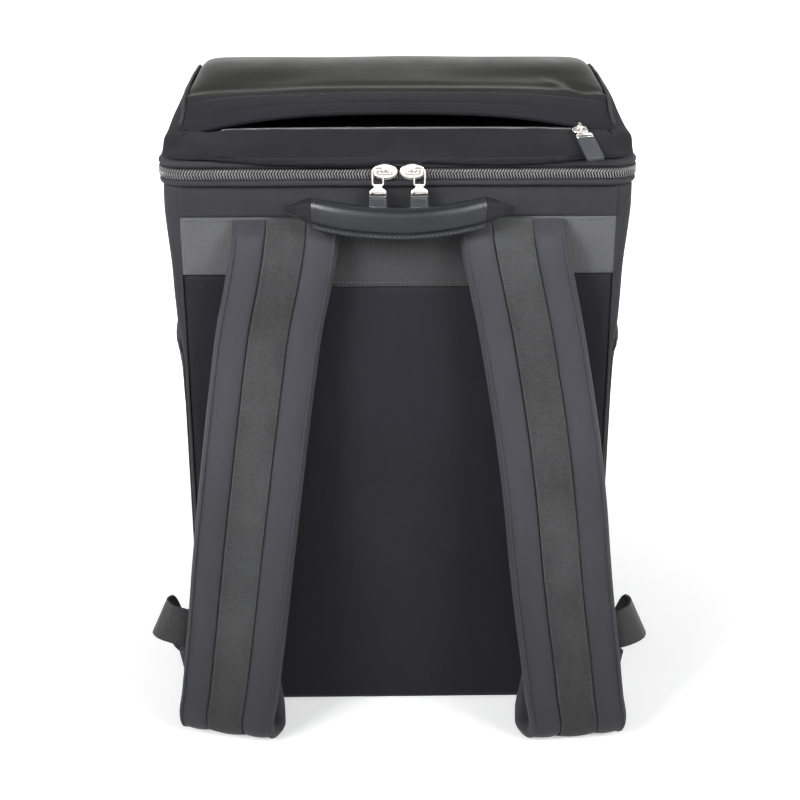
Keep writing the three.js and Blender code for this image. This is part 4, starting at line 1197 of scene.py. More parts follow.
@dataclass
class SidePockets:
    """Flat sleeve pockets whose hemmed mouths stand open."""

    finishes: Finishes
    seamwork: Seamwork
    tub: Tub
    cloth: float = 2.0
    hem: float = 3.0
    top: float = 276.0
    foot: float = 9.0
    hem_height: float = 7.0
    stand_off: float = 7.0
    back_inset: float = 9.0
    front_inset: float = 26.0

    def surface(self, u: Array, z: Array, proud: float) -> Array:
        """Returns the outer side at a share of the depth and a height."""
        open_share = smooth(z / self.top, 0.72, 1.0) * np.sin(math.pi * u) ** 0.7
        x = self.tub.half_width(z) + GAP + proud + self.stand_off * open_share
        y = BACK_Y + self.back_inset + u * (DEPTH - self.back_inset - self.front_inset)
        return stacked(x, y, z)

    def build(self) -> None:
        """Makes both pockets, their hems and stitches."""
        hem_foot = self.top - self.hem_height
        u = np.clip(np.linspace(0, 1, 45), 1e-4, 1 - 1e-4)
        sleeve = face_grid(u, np.linspace(self.foot, hem_foot - GAP, 70), lambda a, z: self.surface(a, z, self.cloth))
        v = np.linspace(0, 1, 70)[:, None]
        inward = smooth(u, 0.02, 0.12) * smooth(1 - u, 0.02, 0.12) * smooth(v, 0.02, 0.1)
        sleeve[..., 0] += inward * (0.7 + 0.6 * ripple(sleeve, 60, 21) + 0.3 * ripple(sleeve, 24, 22))
        hem = face_grid(u, np.linspace(hem_foot, self.top, 9), lambda a, z: self.surface(a, z, self.hem))
        rows = [self.surface(u, np.full_like(u, z), self.hem + 0.1) for z in (hem_foot + 1.4, self.top - 1.8)]
        sheets = (
            ("pocket_sleeve_", "side_pocket_", sleeve, self.cloth),
            ("pocket_hem_", "side_pocket_hem_", hem, self.hem),
        )
        for name, mirrored in (("right", False), ("left", True)):
            for kind, node, points, thick in sheets:
                points = mirror_grid(points) if mirrored else points
                sewn(kind + name, self.finishes.gusset, points, thick, 0.3, "charcoal_cloth", node + name)
            self.seamwork.light += [row * [-1, 1, 1] if mirrored else row for row in rows]


# Zip round the rim


@dataclass
class RimZip:
    """Two woven tapes and the coil between them, round three sides of the rim."""

    finishes: Finishes
    half: float = 153.0
    back_out: float = 4.5
    corner: float = 20.0
    depth: float = 6.7
    pitch: float = 1.85

    def path(self) -> Path:
        """Returns the rim's outline from the front left round the back to the front right."""
        back, front, inner = BACK_Y - self.back_out, FRONT_Y, self.half - self.corner
        turns = [
            ((-inner, front - self.corner), 90, 180),
            ((-inner, back + self.corner), 180, 270),
            ((inner, back + self.corner), 270, 360),
            ((inner, front - self.corner), 0, 90),
        ]
        places, normals = [], []
        for centre, start, end in turns:
            curve = arc(centre, self.corner, start, end, 14)
            way = arc((0, 0), 1, start, end, 14)
            if places:
                gap = np.linalg.norm(curve[0] - places[-1][-1])
                share = np.linspace(0, 1, max(int(gap / 6), 2) + 1)[1:-1, None]
                places.append(places[-1][-1] * (1 - share) + curve[0] * share)
                normals.append(np.repeat(way[:1], len(share), 0))
            places.append(curve)
            normals.append(way)
        flat, facing = np.concatenate(places), np.concatenate(normals)
        zero = np.zeros(len(flat))
        origin, across = stacked(flat[:, 0], flat[:, 1], zero), stacked(facing[:, 0], facing[:, 1], zero)
        return Path(origin, across, np.broadcast_to([0.0, 0.0, 1.0], across.shape))

    def band(self, name: str, node: str, foot: float, height: float, bulge: float, finish: Material) -> None:
        """Makes one band of the zip.

        Args:
            name: of the piece.
            node: solid that it replaces.
            foot: height of its lower edge.
            height: of the band.
            bulge: how far its face stands out.
            finish: its material.
        """
        path = self.path()
        half, turn = height / 2, min(1.3, height * 0.3)
        face = [(-turn, -half), (-turn * 0.3, -half + turn * 0.25), (0, -half + turn)]
        face += [(bulge * 0.8, -half * 0.4), (bulge, 0), (bulge * 0.8, half * 0.4)]
        face += [(0, half - turn), (-turn * 0.3, half - turn * 0.25), (-turn, half)]
        section = np.array([(-self.depth, -half), *face, (-self.depth, half)])
        rings = np.repeat(section[None], len(path.origin), 0)
        waves = 0.22 * ripple(path.origin, 60, int(foot)) + 0.12 * ripple(path.origin, 22, int(foot) + 1)
        rings[..., 1] += foot + half
        rings[:, 1:-1, 0] += waves[:, None]
        draft = MeshDraft()
        draft.add_loft(path.rings(rings), along=measured(path.origin))
        settle(draft.build(name, [finish], sharp=60), "bag", "charcoal_cloth" if "tape" in node else "zip_coil", node)

    def build(self) -> None:
        """Makes the tapes, the coil's bed and the coil's turns."""
        self.band("lower_tape", "zip_tape_lower", LOWER_TAPE_Z, 4.0, 0.35, self.finishes.charcoal)
        self.band("upper_tape", "zip_tape_upper", UPPER_TAPE_Z, UPPER_TAPE_HEIGHT, 0.5, self.finishes.charcoal)
        self.band("coil_bed", "zip_chain", CHAIN_Z, CHAIN_HEIGHT, -1.4, self.finishes.tape)
        path = self.path()
        for name, share, lean in (("coil_upper", 0.7, 0.6), ("coil_lower", 0.3, -0.3)):
            line = path.shifted(0.3, CHAIN_Z + CHAIN_HEIGHT * share)
            turns = Beads(self.pitch, 2.05, 0.45, lean)
            settle(turns.laid(name, [line[2:-2]], self.finishes.coil), "bag", "zip_coil")


# Lid


@dataclass
class LidForm:
    """Outer form of the lid, the same as its solids have."""

    droop: float = 6.5
    top_half: float = 137.5
    foot_half: float = 151.0
    foot_corner: float = 18.0
    top_corner: float = 9.0
    cloth: float = 2.5
    inset: float = 4.5
    crest_drop: float = 2.6
    lower: Array = field(
        default_factory=lambda: np.array(
            [(-0.023, 0), (-0.028, 0.028), (-0.012, 0.072), (0.034, 0.153), (0.085, 0.239), (0.136, 0.32)]
        )
    )
    lip_end: Array = field(default_factory=lambda: np.array([0.145, 0.35]))
    lip_middle: Array = field(default_factory=lambda: np.array([0.216, 0.561]))
    crease: Array = field(default_factory=lambda: np.array([0.33, 0.726]))
    top: Array = field(
        default_factory=lambda: np.array(
            [
                (0.333, 0.73), (0.426, 0.85), (0.54, 0.955), (0.625, 1.0),
                (0.727, 0.995), (0.824, 0.94), (0.898, 0.82), (0.943, 0.66),
            ]
        )
    )
    front: Array = field(default_factory=lambda: np.array([(0.947, 0.635), (0.972, 0.45), (0.986, 0.22), (1.0, 0.0)]))

    def level(self, rise: Array, side: Array | float, power: Array | float = 4.0) -> Array:
        """Returns the height of a rise at a share of the half width; a high power droops at the ends alone."""
        return LID_Z + rise * (LID_HEIGHT - self.droop * np.abs(side) ** power)

    def __post_init__(self) -> None:
        """Works out the lid's edges at its sides."""
        steps = np.linspace(0, 1, 60)
        low, front = curve_through(self.lower, steps), curve_through(self.front, steps)[::-1]
        rows = np.vstack([self.lower[-1:], self.lip_end[None], self.crease[None], self.top, self.front[:1]])
        self.low_edge = stacked(low[:, 0] * DEPTH, self.level(low[:, 1], 1))
        self.front_edge = stacked(front[:, 0] * DEPTH, self.level(front[:, 1], 1))
        self.top_edge = stacked(rows[:, 0] * DEPTH, self.level(rows[:, 1], 1))
        self.mouth_z = float(self.low_edge[-1, 1])
        self.front_z = float(self.front_edge[-1, 1])

    def side_at(self, z: Array) -> Array:
        """Returns the lid's half width along its sides at a height."""
        share = np.clip((z - LID_Z) / LID_HEIGHT, 0, 1)
        return self.foot_half + (self.top_half - self.foot_half) * share

    def corner_at(self, z: Array, edge_z: float) -> Array:
        """Returns the plan rounding of a corner at a height."""
        share = np.clip((z - LID_Z) / (edge_z - LID_Z), 0, 1)
        return self.foot_corner + (self.top_corner - self.foot_corner) * share

    def half_width(self, forward: Array, z: Array) -> Array:
        """Returns the half width at a distance forward of the back and a height."""
        cuts = []
        for edge, edge_z, sign in ((self.low_edge, self.mouth_z, 1), (self.front_edge, self.front_z, -1)):
            radius = self.corner_at(z, edge_z)
            distance = sign * (forward - np.interp(z, edge[:, 1], edge[:, 0]))
            reach = np.clip(1 - distance / radius, 0, 1)
            cuts.append(radius * (1 - np.sqrt(1 - reach * reach)))
        return self.side_at(z) - np.maximum(*cuts)

    def seam_inset(self, forward: Array) -> Array:
        """Returns how far the seams beside the mouth lie inside the bulging gussets."""
        return self.inset * hump(forward, 34, 20)

    def strip(self, back: Array, rise: Array, edge_back: Array, edge_rise: Array, side: Array) -> Array:
        """Returns places between the gussets.

        Args:
            back: distance forward as a share of the depth.
            rise: height as a share of the lid's.
            edge_back: the same at the side edge of each row.
            edge_rise: the same at the side edge of each row.
            side: share of the half width, from -1 to 1.

        Returns:
            Points with the arguments' common shape.
        """
        half = self.half_width(edge_back * DEPTH, self.level(edge_rise, 1)) - self.cloth - 2 * GAP
        half = half - self.seam_inset(edge_back * DEPTH)
        return stacked(side * half, BACK_Y + back * DEPTH, self.level(rise, side))


@dataclass
class Lid:
    """Soft loaf-shaped lid: skirt with its corners, pocket flap, top, front and pad."""

    finishes: Finishes
    seamwork: Seamwork
    form: LidForm = field(default_factory=LidForm)
    rows: int = 30
    lip_hem: float = 5.0
    pad_inset: float = 7.0

    def gusset(self, u: Array, v: Array) -> Array:
        """Returns the right side of the lid, from its back corner (u = 0) to its front one."""
        form, turn = self.form, 0.2
        into_back, into_front = np.clip(1 - u / turn, 0, 1), np.clip(1 - (1 - u) / turn, 0, 1)
        along = np.clip((u - turn) / (1 - 2 * turn), 0, 1)

        def place_at(z: Array) -> Array:
            back_corner, front_corner = form.corner_at(z, form.mouth_z), form.corner_at(z, form.front_z)
            start = np.interp(z, form.low_edge[:, 1], form.low_edge[:, 0]) + back_corner
            end = np.interp(z, form.front_edge[:, 1], form.front_edge[:, 0]) - front_corner
            straight = start + (end - start) * along
            swing = back_corner * np.sin(math.pi / 2 * into_back) - front_corner * np.sin(math.pi / 2 * into_front)
            return straight - swing

        crest = place_at(np.full_like(u, LID_Z + LID_HEIGHT))
        top = np.maximum(np.interp(crest, form.top_edge[:, 0], form.top_edge[:, 1]), form.mouth_z)
        top = top - form.crest_drop * smooth(crest, 66, 96) * (1 - smooth(crest, 118, 150))
        z = LID_Z + (top - LID_Z) * v
        forward = place_at(z)
        half = form.half_width(forward, z) - form.seam_inset(forward) * smooth(v, 0.45, 1.0)
        return stacked(half, BACK_Y + forward, z)

    def skirt(self) -> None:
        """Makes the lower back panel with both gussets as one soft shell."""
        form = self.form
        v = np.linspace(0, 1, self.rows + 1)
        turn = np.concatenate([np.linspace(0, 0.2, 12)[:-1], np.linspace(0.2, 0.8, 46), np.linspace(0.8, 1, 12)[1:]])
        right = face_grid(turn, v, self.gusset)
        side = np.linspace(-1, 1, 111)
        low = curve_through(form.lower, np.linspace(0, 1, 60))

        def back(s: Array, share: Array) -> Array:
            rise = share * form.lower[-1, 1]
            edge_z = form.level(rise, 1)
            half = form.side_at(edge_z) - form.corner_at(edge_z, form.mouth_z)
            forward = np.interp(rise, low[:, 1], low[:, 0]) * DEPTH
            return stacked(s * half, BACK_Y + forward, form.level(rise, s))

        middle = face_grid(side, v, back)
        points = np.concatenate([mirror_grid(right)[:, :-1], middle, right[:, 1:]], 1)
        x, y, z = (points[..., k] for k in range(3))
        at_back = smooth(-y, 30, 62)
        sag = at_back * (1 - smooth(np.abs(x), 70, 138))
        puff = at_back * (1 - smooth(np.abs(x), 92, 146)) * (1 - 0.9 * hump(x, 0, 27))
        low_share = 1 - smooth(z, 406, 419)
        tuck = 0.35 + 0.65 * smooth(z, LID_Z, LID_Z + 2.2)
        fold = low_share * tuck
        soft = smooth(v, 0.05, 0.3)[:, None]
        relief = soft * (0.45 * ripple(points, 75, 31) + 0.35 * ripple(points, 30, 32))
        roll = hump(z, 409, 5) * (1 - smooth(np.abs(x), 122, 144)) * (1 - 0.9 * hump(x, 0, 34))
        relief += soft * at_back * 2.2 * roll
        relief -= soft * at_back * 2.2 * hump(z, 412, 6) * hump(x, 0, 30)
        relief += 2.8 * np.sin(math.pi * v)[:, None] * smooth(np.abs(x), 126, 140) * smooth(y, -84, -62)
        relief -= at_back * 1.1 * (hump(x + 0.9 * (z - 405), -112, 6) + hump(x - 0.9 * (z - 405), 104, 6)) * soft
        points = raised(points, relief)
        points[..., 1] -= 4.4 * fold * puff
        points[..., 2] -= 4.8 * fold * sag * (1 - 0.55 * hump(x, 0, 24))
        nodes = ("lid_back_panel", "lid_gusset_right", "lid_gusset_left")
        # The skirt wears the lid cloth, charcoal cloth painted darker as painted shade.
        sewn("lid_skirt", self.finishes.lid, points, form.cloth, 0.4, "charcoal_cloth", *nodes)
        self.piping(right[-1])

    def piping(self, edge: Array) -> None:
        """Makes the corded seams along the tops of both gussets."""
        line = edge[9:-6] + [-1.0, 0.0, 0.15]
        steps = np.linspace(0, 1, 120)
        line = curve_by_length(line, steps)
        for name, sign in (("right", 1), ("left", -1)):
            draft = MeshDraft()
            draft.add_loft(capsule_along(line * [sign, 1, 1], 1.25, 10))
            settle(draft.build("lid_piping_" + name, [self.finishes.gusset]), "bag", "charcoal_cloth")

    def flap(self) -> None:
        """Makes the flap, whose rolled lip arches over the open mouth."""
        form = self.form
        side, v = np.linspace(-1, 1, 121), np.linspace(0, 1, 23)

        def place(s: Array, share: Array) -> Array:
            def row(at: Array) -> tuple[Array, Array]:
                opening = (1 - np.abs(at) ** 2.6)[..., None]
                lip = form.lip_end * (1 - opening) + form.lip_middle * opening
                both = lip * (1 - share[..., None]) + form.crease * share[..., None]
                return both[..., 0], both[..., 1] + 0.02 * np.sin(math.pi * share)

            back, rise = row(s)
            edge_back, edge_rise = row(np.ones_like(s))
            return form.strip(back, rise, edge_back, edge_rise, s)

        points = face_grid(side, v, place)
        share, s = v[:, None], side[None, :]
        relief = 0.4 * ripple(points, 60, 33) * smooth(share, 0.1, 0.5) - 0.25 * hump(share, 0.3, 0.06)
        relief = relief - 0.4 * hump(share, 0.87, 0.05) * smooth(np.abs(s), 0.3, 0.7)
        points = raised(points, relief)
        hem = self.lip_hem + (form.cloth - self.lip_hem) * smooth(share, 0, 0.35)
        # The flap wears the lid cloth, charcoal cloth painted darker as painted shade.
        sewn("lid_pocket_flap", self.finishes.lid, points, hem, 0.5, "charcoal_cloth", "lid_flap")
        row = int(round(0.87 * (len(v) - 1)))
        self.seamwork.dark.append(points[row, 3:-3] + [0, -0.1, 0.15])

    def top(self) -> None:
        """Makes the sleek top panel, dented near its ends."""
        form = self.form
        side, v = np.linspace(-1, 1, 141), np.linspace(0, 1, 71)
        rows = curve_through(form.top, v)
        s, share = np.meshgrid(side, v)
        back, rise = (np.broadcast_to(rows[:, k, None], s.shape) for k in range(2))
        points = form.strip(back, rise, back, rise, s)
        points[..., 2] = form.level(rise, s, 4 + 28 * smooth(share, 0, 0.45) * (1 - smooth(share, 0.85, 1)))
        x, forward = points[..., 0], points[..., 1] - BACK_Y
        relief = 0.9 * hump(share, 0.02, 0.03) - 0.5 * hump(share, 0.075, 0.03)
        relief -= 2.4 * hump(x, -88, 30) * hump(forward - 0.1 * x, 82, 13)
        relief -= 2.0 * hump(x, 104, 26) * hump(forward, 80, 13) + 1.0 * hump(x, 60, 34) * hump(forward, 78, 12)
        relief -= 1.5 * hump(x + 0.9 * (forward - 66), 122, 7) * hump(forward, 68, 9)
        relief += 0.9 * hump(x + 0.9 * (forward - 66), 110, 6) * hump(forward, 68, 9)
        relief += 0.5 * ripple(points, 80, 35) * smooth(share, 0.05, 0.3)
        relief -= 0.8 * smooth(np.abs(s), 0.975, 1.0) * smooth(share, 0.1, 0.3)
        points = raised(points, relief)
        sewn("lid_top", self.finishes.sleek, points, form.cloth, 0.5, "sleek_hide", "lid_top_panel")

    def front(self) -> None:
        """Makes the front panel, which runs down to the tub as the lid's hinge."""
        form = self.form
        side, v = np.linspace(-1, 1, 81), np.linspace(0, 1, 31)
        upper = curve_through(form.front, np.minimum(v / 0.75, 1))
        lower = np.maximum((v - 0.75) / 0.25, 0)[:, None]
        s = np.broadcast_to(side[None, :], (len(v), len(side)))
        edge_z = form.level(upper[:, 1], 1)
        half = form.side_at(edge_z) - form.corner_at(edge_z, form.front_z) - 2 * GAP
        z = form.level(upper[:, 1][:, None], s) * (1 - lower) + LOWER_TAPE_Z * lower
        points = stacked(s * half[:, None], BACK_Y + upper[:, :1] * DEPTH, z)
        relief = 0.5 * ripple(points, 60, 36) + 0.8 * hump(v, 0.35, 0.2)[:, None] - 0.8 * hump(v, 0.76, 0.03)[:, None]
        points = raised(points, relief)
        sewn("lid_front", self.finishes.charcoal, points, form.cloth, 0.3, "charcoal_cloth", "lid_front_panel")

    def pad(self) -> None:
        """Makes the foam pad that closes the tub under the lid's pocket."""
        inset = self.pad_inset
        half, corner = RimZip.half - inset, RimZip.corner - inset
        back, front = BACK_Y - RimZip.back_out + inset, FRONT_Y - inset
        foot, top, bevel = LOWER_TAPE_Z, LID_Z - 1.3, 2.5

        def outline(z: float, inward: float) -> Array:
            right = [arc((half - corner, back + corner), corner - inward, -90, 0, 8)]
            right += [arc((half - corner, front - corner), corner - inward, 0, 90, 8)]
            right = np.concatenate(right)
            line = np.concatenate([right, right[::-1] * [-1, 1]])
            return np.concatenate([line, np.full((len(line), 1), z)], 1)

        angles = np.radians([90, 60, 30, 0])
        low = [outline(foot + bevel * (1 - math.sin(a)), bevel * (1 - math.cos(a))) for a in angles]
        high = [outline(top - bevel * (1 - math.sin(a)), bevel * (1 - math.cos(a))) for a in angles[::-1]]
        draft = MeshDraft()
        draft.add_loft(np.array([*low, *high]))
        draft.line_from(len(low) * len(low[0]))
        piece = draft.build("lid_pad", [self.finishes.liner, self.finishes.charcoal])
        settle(piece, "bag", "liner", "lid_liner")

    def pocket_zip(self) -> None:
        """Makes the coil zip behind the mouth's edge."""
        form, share = self.form, 0.82
        side = np.linspace(-share, share, 101)
        mouth_z = form.level(form.lower[-1, 1], side)
        half = form.side_at(mouth_z) - form.top_corner
        v = np.linspace(0, 1, 5)
        forward = form.lower[-1, 0] * DEPTH + 2 + 6 * v[:, None]
        points = stacked(side * half, BACK_Y + forward, mouth_z - 0.8 - 2.4 * v[:, None])
        sewn("pocket_zip_tape", self.finishes.tape, points, 1.2, 0.3, "zip_coil", "pocket_zip")
        line = stacked(side * half, BACK_Y + forward[0] + 1.6, mouth_z - 0.7)
        settle(Beads(1.3, 1.0, 0.4, 0.7).laid("pocket_coil", [line], self.finishes.coil), "bag", "zip_coil")

    def build(self) -> None:
        """Makes every piece of the lid."""
        self.skirt()
        self.flap()
        self.top()
        self.front()
        self.pad()
        self.pocket_zip()


# Zip hardware

# Middles of the right main slider and of its puller's hinge, the pocket puller's hinge with its
# directions, and how far that hinge stands over the pocket's slider, in millimetres.
MAIN_SEAT = (8.8, -93.6, 394.7)
MAIN_HINGE = (13.145, -96.8, 396.8)
POCKET_HINGE = (117.0, -67.671, 416.974)
POCKET_ACROSS = (0.98629, 0.15463, 0.05772)
POCKET_OUT = (0.0, -0.3497, 0.9369)
POCKET_HINGE_LIFT = 2.6


@dataclass
class Placement:
    """A local frame: x across, y up the surface, z out of it."""

    origin: Array
    across: Array
    up: Array
    out: Array

    def put(self, local: Array) -> Array:
        """Returns local points in the bag's frame."""
        local = np.asarray(local, float)
        return self.origin + local[..., :1] * self.across + local[..., 1:2] * self.up + local[..., 2:] * self.out


def slab(outline: Array, levels: Sequence[tuple[float, float]]) -> Array:
    """Stacks an outline at several heights.

    Args:
        outline: (n, 2) points round the middle.
        levels: pairs of height and inward distance.

    Returns:
        (levels, n, 3) rings.
    """
    middle = (outline.max(0) + outline.min(0)) / 2
    reach = (outline.max(0) - outline.min(0)) / 2
    rings = []
    for height, inward in levels:
        scaled = middle + (outline - middle) * (1 - inward / reach)
        rings.append(stacked(scaled[:, 0], scaled[:, 1], height))
    return np.array(rings)


@dataclass
class ZipPull:
    """A slider with its bridge, the hanging puller and the rubber tab."""

    finishes: Finishes
    name: str
    body: str
    slider_node: str
    puller_node: str
    tab_node: str
    seat: Placement
    hang: Placement
    length: float = 16.5
    width: float = 10.6
    plate: float = 2.0
    ring_drop: float = 11.7
    tab_length: float = 22.0
    bridge_length: float = 10.89
    bridge_height: float = 5.7
    upright: bool = False
    wire: float = 1.4
    ring_width: float = 8.2
    clamp_width: float = 11.0
    clamp_height: float = 8.3
    band: float = 3.8
    shoulder: float = 2.5

    def slider(self) -> None:
        """Makes the oval slider with its sunk middle and arched bridge."""
        angles = np.linspace(0, TAU, 40, endpoint=False)
        oval = stacked(self.length / 2 * np.cos(angles), self.width / 2 * np.sin(angles))
        t = self.plate
        levels = [(0, 0.5), (t * 0.2, 0.1), (t * 0.5, 0), (t * 0.8, 0.25), (t * 0.95, 0.9), (t, 1.9)]
        draft = MeshDraft()
        draft.add_loft(self.seat.put(slab(oval, levels)))
        half, top = (self.bridge_length - 2.2) / 2, self.bridge_height
        arch = [(-half, 0.5 * t), (-half, top * 0.5), (-half * 0.86, top * 0.82)]
        arch += [(-half * 0.45, top * 0.98), (0, top)]
        arch += [(-x, z) for x, z in arch[-2::-1]]
        path = curve_by_length(np.array([(x, z, 0) for x, z in arch]), np.linspace(0, 1, 25))
        along, lift = path[:, 0], path[:, 1]
        line = stacked(0.0, along, lift) if self.upright else stacked(along, 0.0, lift)
        width = 1.15 - 0.2 * np.sin(np.linspace(0, math.pi, 25))
        tube = round_tube(line + np.array([1e-4, 1e-4, 0]), width, 12)
        draft.add_loft(self.seat.put(tube))
        piece = draft.build("slider_metal_" + self.name, [self.finishes.nickel], sharp=60)
        settle(piece, "bag", "nickel", self.slider_node)

    def puller(self) -> None:
        """Makes the wire bail and the clamp that holds the tab."""
        r = self.wire / 2
        half, foot = self.ring_width / 2 - r, -self.ring_drop + 2 * r
        corners = [((half - 2, -2), 2, 0, 90), ((-half + 2, -2), 2, 90, 180)]
        corners += [((-half + 0.9, foot + 0.9), 0.9, 180, 270), ((half - 0.9, foot + 0.9), 0.9, 270, 360)]
        line = np.concatenate([arc(*corner, 6) for corner in corners])
        turns = np.linspace(0, TAU, 12, endpoint=False)
        draft = MeshDraft()
        draft.add_loft(self.hang.put(hoop(line, r * stacked(np.cos(turns), np.sin(turns)))), loop=True)
        low = 1.5 * self.wire - self.ring_drop - self.clamp_height
        wide, tongue = self.clamp_width / 2, self.ring_width / 2 - self.wire - GAP
        shoulder, high = low + self.band, r - self.ring_drop + self.wire + GAP
        neck = shoulder + self.shoulder
        right = [(wide - 0.5, low), (wide, low + 0.5), (wide, shoulder - 0.3), (wide - 0.4, shoulder + 0.3)]
        right += [(tongue + 0.5, neck - 0.4), (tongue, neck + 0.2), (tongue, high - 0.3), (tongue - 0.3, high)]
        outline = np.array(right + [(-x, y) for x, y in right[::-1]])
        levels = [(-1.0, 0.45), (-0.75, 0.12), (-0.4, 0), (0.4, 0), (0.75, 0.12), (1.0, 0.45)]
        draft.add_loft(self.hang.put(slab(outline, levels)))
        bar = rounded_box_section(2 * wide - 2.4, 0.9, 0.3) + [0, low + 1.15]
        draft.add_loft(self.hang.put(slab(bar, [(0.85, 0), (1.06, 0.02), (1.1, 0.1)])), finish=1)
        collar = rounded_box_section(2 * wide - 1.0, 0.7, 0.3) + [0, shoulder - 0.55]
        draft.add_loft(self.hang.put(slab(collar, [(0.8, 0), (1.2, 0), (1.35, 0.15)])))
        piece = draft.build("puller_metal_" + self.name, [self.finishes.nickel, self.finishes.buckle], sharp=50)
        settle(piece, self.body, "nickel", self.puller_node)

    def tab(self) -> None:
        """Makes the moulded rubber tab with its raised border."""
        top = 1.5 * self.wire - self.ring_drop - self.clamp_height - GAP
        outline = rounded_box_section(self.clamp_width, self.tab_length, 1.2, 4) + [0, top - self.tab_length / 2]
        levels = [(-1.3, 0.5), (-1.15, 0.15), (-0.9, 0), (0.9, 0), (1.15, 0.12), (1.3, 0.45), (1.3, 1.1), (1.05, 1.45)]
        draft = MeshDraft()
        draft.add_loft(self.hang.put(slab(outline, levels)))
        piece = draft.build("tab_rubber_" + self.name, [self.finishes.rubber], sharp=70)
        settle(piece, self.body, "rubber_tab", self.tab_node)

    def build(self) -> None:
        """Makes the three pieces."""
        self.slider()
        self.puller()
        self.tab()


def main_pull(finishes: Finishes, name: str, sign: int) -> ZipPull:
    """Returns one of the two main zip pulls, left (-1) or right (1)."""
    across, up, out = np.array([1.0, 0, 0]), np.array([0, 0, 1.0]), np.array([0, -1.0, 0])
    seat, hang = (Placement(np.array(place) * [sign, 1, 1], across, up, out) for place in (MAIN_SEAT, MAIN_HINGE))
    return ZipPull(finishes, name, "puller_" + name, "slider_" + name, "puller_" + name, "tab_" + name, seat, hang)


def pocket_pull(finishes: Finishes) -> ZipPull:
    """Returns the lid pocket's zip pull."""
    across, out = unit(np.array(POCKET_ACROSS)), unit(np.array(POCKET_OUT))
    up, origin = np.cross(out, across), np.array(POCKET_HINGE)
    hang = Placement(origin, across, up, out)
    seat = Placement(origin - out * POCKET_HINGE_LIFT, across, up, out)
    return ZipPull(
        finishes, "pocket", "pocket_puller", "pocket_slider", "pocket_puller", "pocket_tab", seat, hang,
        length=9.9, width=7.95, plate=1.4, ring_drop=7.0, tab_length=24.0,
        bridge_length=7.5, bridge_height=4.3, upright=True,
    )


# Handle


@dataclass
class Handle:
    """Bowed grip with a sewn flange, and folded webbing ends."""

    finishes: Finishes
    seamwork: Seamwork
    half_length: float = 55.0
    height: float = 17.0
    thickness: float = 10.5
    flange: float = 3.0
    stand_off: float = 30.0
    bow: float = 10.0
    sag: float = 4.5
    level: float = 368.8
    tip: float = 73.0

    def line(self, share: Array) -> Array:
        """Returns the grip's middle line at shares from -1 to 1."""
        forward, height = BACK_Y - self.stand_off + self.bow * share**2, self.level + self.sag * share**2
        return stacked(share * self.half_length, forward, height)

    def section(self, size: Array, flange: float) -> Array:
        """Makes the drop-shaped section.

        Args:
            size: share of the full size, one for each ring.
            flange: how far the sewn edge hangs below.

        Returns:
            (rings, points, 2) pairs of height and distance out.
        """
        h, t = self.height / 2, self.thickness / 2
        right = np.array([
            (h, 0), (h * 0.98, t * 0.28), (h * 0.88, t * 0.55), (h * 0.66, t * 0.85), (h * 0.35, t * 0.99), (0, t),
            (-h * 0.35, t * 0.98), (-h * 0.62, t * 0.86), (-h * 0.82, t * 0.62), (-h * 0.96, t * 0.3),
        ])
        skirt = np.array([(0, 1.25), (-flange * 0.5, 1.2), (-flange + 0.3, 1.15), (-flange, 0.8)])
        size = np.asarray(size, float)[:, None, None]
        body = right * size
        low = skirt + np.concatenate([-h * size, np.zeros_like(size)], 2)
        low[..., 1] *= 0.4 + 0.6 * size[..., 0]
        half = np.concatenate([body, low], 1)
        other = half[:, :0:-1] * [1, -1]
        return np.concatenate([half, other], 1)

    def grip(self) -> None:
        """Makes the grip and its stitches."""
        share = np.linspace(-1, 1, 81)
        origin = self.line(share)
        path = hanging(origin)
        pinch = 1 - 0.05 * smooth(np.abs(share), 0.9, 1.0)
        section = self.section(pinch, self.flange)
        rings = path.rings(section)
        rings = rings + 0.12 * ripple(rings, 35, 41)[..., None] * unit(rings - origin[:, None])
        draft = MeshDraft()
        draft.add_loft(rings)
        piece = draft.build("grip", [self.finishes.handle], sharp=65)
        settle(piece, "bag", "handle_hide", "handle_grip")
        low = -self.height / 2 - 0.5 * self.flange
        for out_way in (1.25, -1.25):
            self.seamwork.light.append(path.shifted(low, out_way)[2:-2])
        for end in (-0.945, 0.945):
            near = int(np.argmin(np.abs(share - end)))
            column = rings[near, 1:10] + np.array([0, -0.15, 0])
            self.seamwork.dark.append(curve_by_length(column, np.linspace(0, 1, 12)))

    def ends(self) -> None:
        """Makes the folded webbing that tapers from the grip into the yoke."""
        start, tip = self.line(np.array(1.0)), np.array([self.tip, BACK_Y - 2.2, YOKE_FOOT + 3.5])
        along = np.linspace(0, 1, 26)
        size = np.interp(along, [0, 0.3, 0.65, 1], [0.94, 0.72, 0.42, 0.16])
        origin = stacked(
            start[0] + GAP + (tip[0] - start[0] - GAP) * along,
            start[1] + (tip[1] - start[1]) * along**0.8,
            start[2] + (tip[2] - start[2]) * along,
        )
        for name, sign in (("right", 1), ("left", -1)):
            path = hanging(origin * [sign, 1, 1])
            section = self.section(size, 1.0)
            section[..., 0] += (self.height * (1 - size) * 0.12)[:, None]
            crease = np.abs(section[..., 0]) < self.height * 0.1
            section[..., 1] *= np.where(crease, 0.72, 1.0)
            draft = MeshDraft()
            draft.add_loft(path.rings(section))
            piece = draft.build("handle_end_" + name, [self.finishes.loop], sharp=50)
            settle(piece, "bag", "webbing", "handle_web_" + name)

    def build(self) -> None:
        """Makes the handle."""
        self.grip()
        self.ends()


# Shoulder straps


class Side(Enum):
    """Which strap, with its direction along x."""

    LEFT = -1
    RIGHT = 1


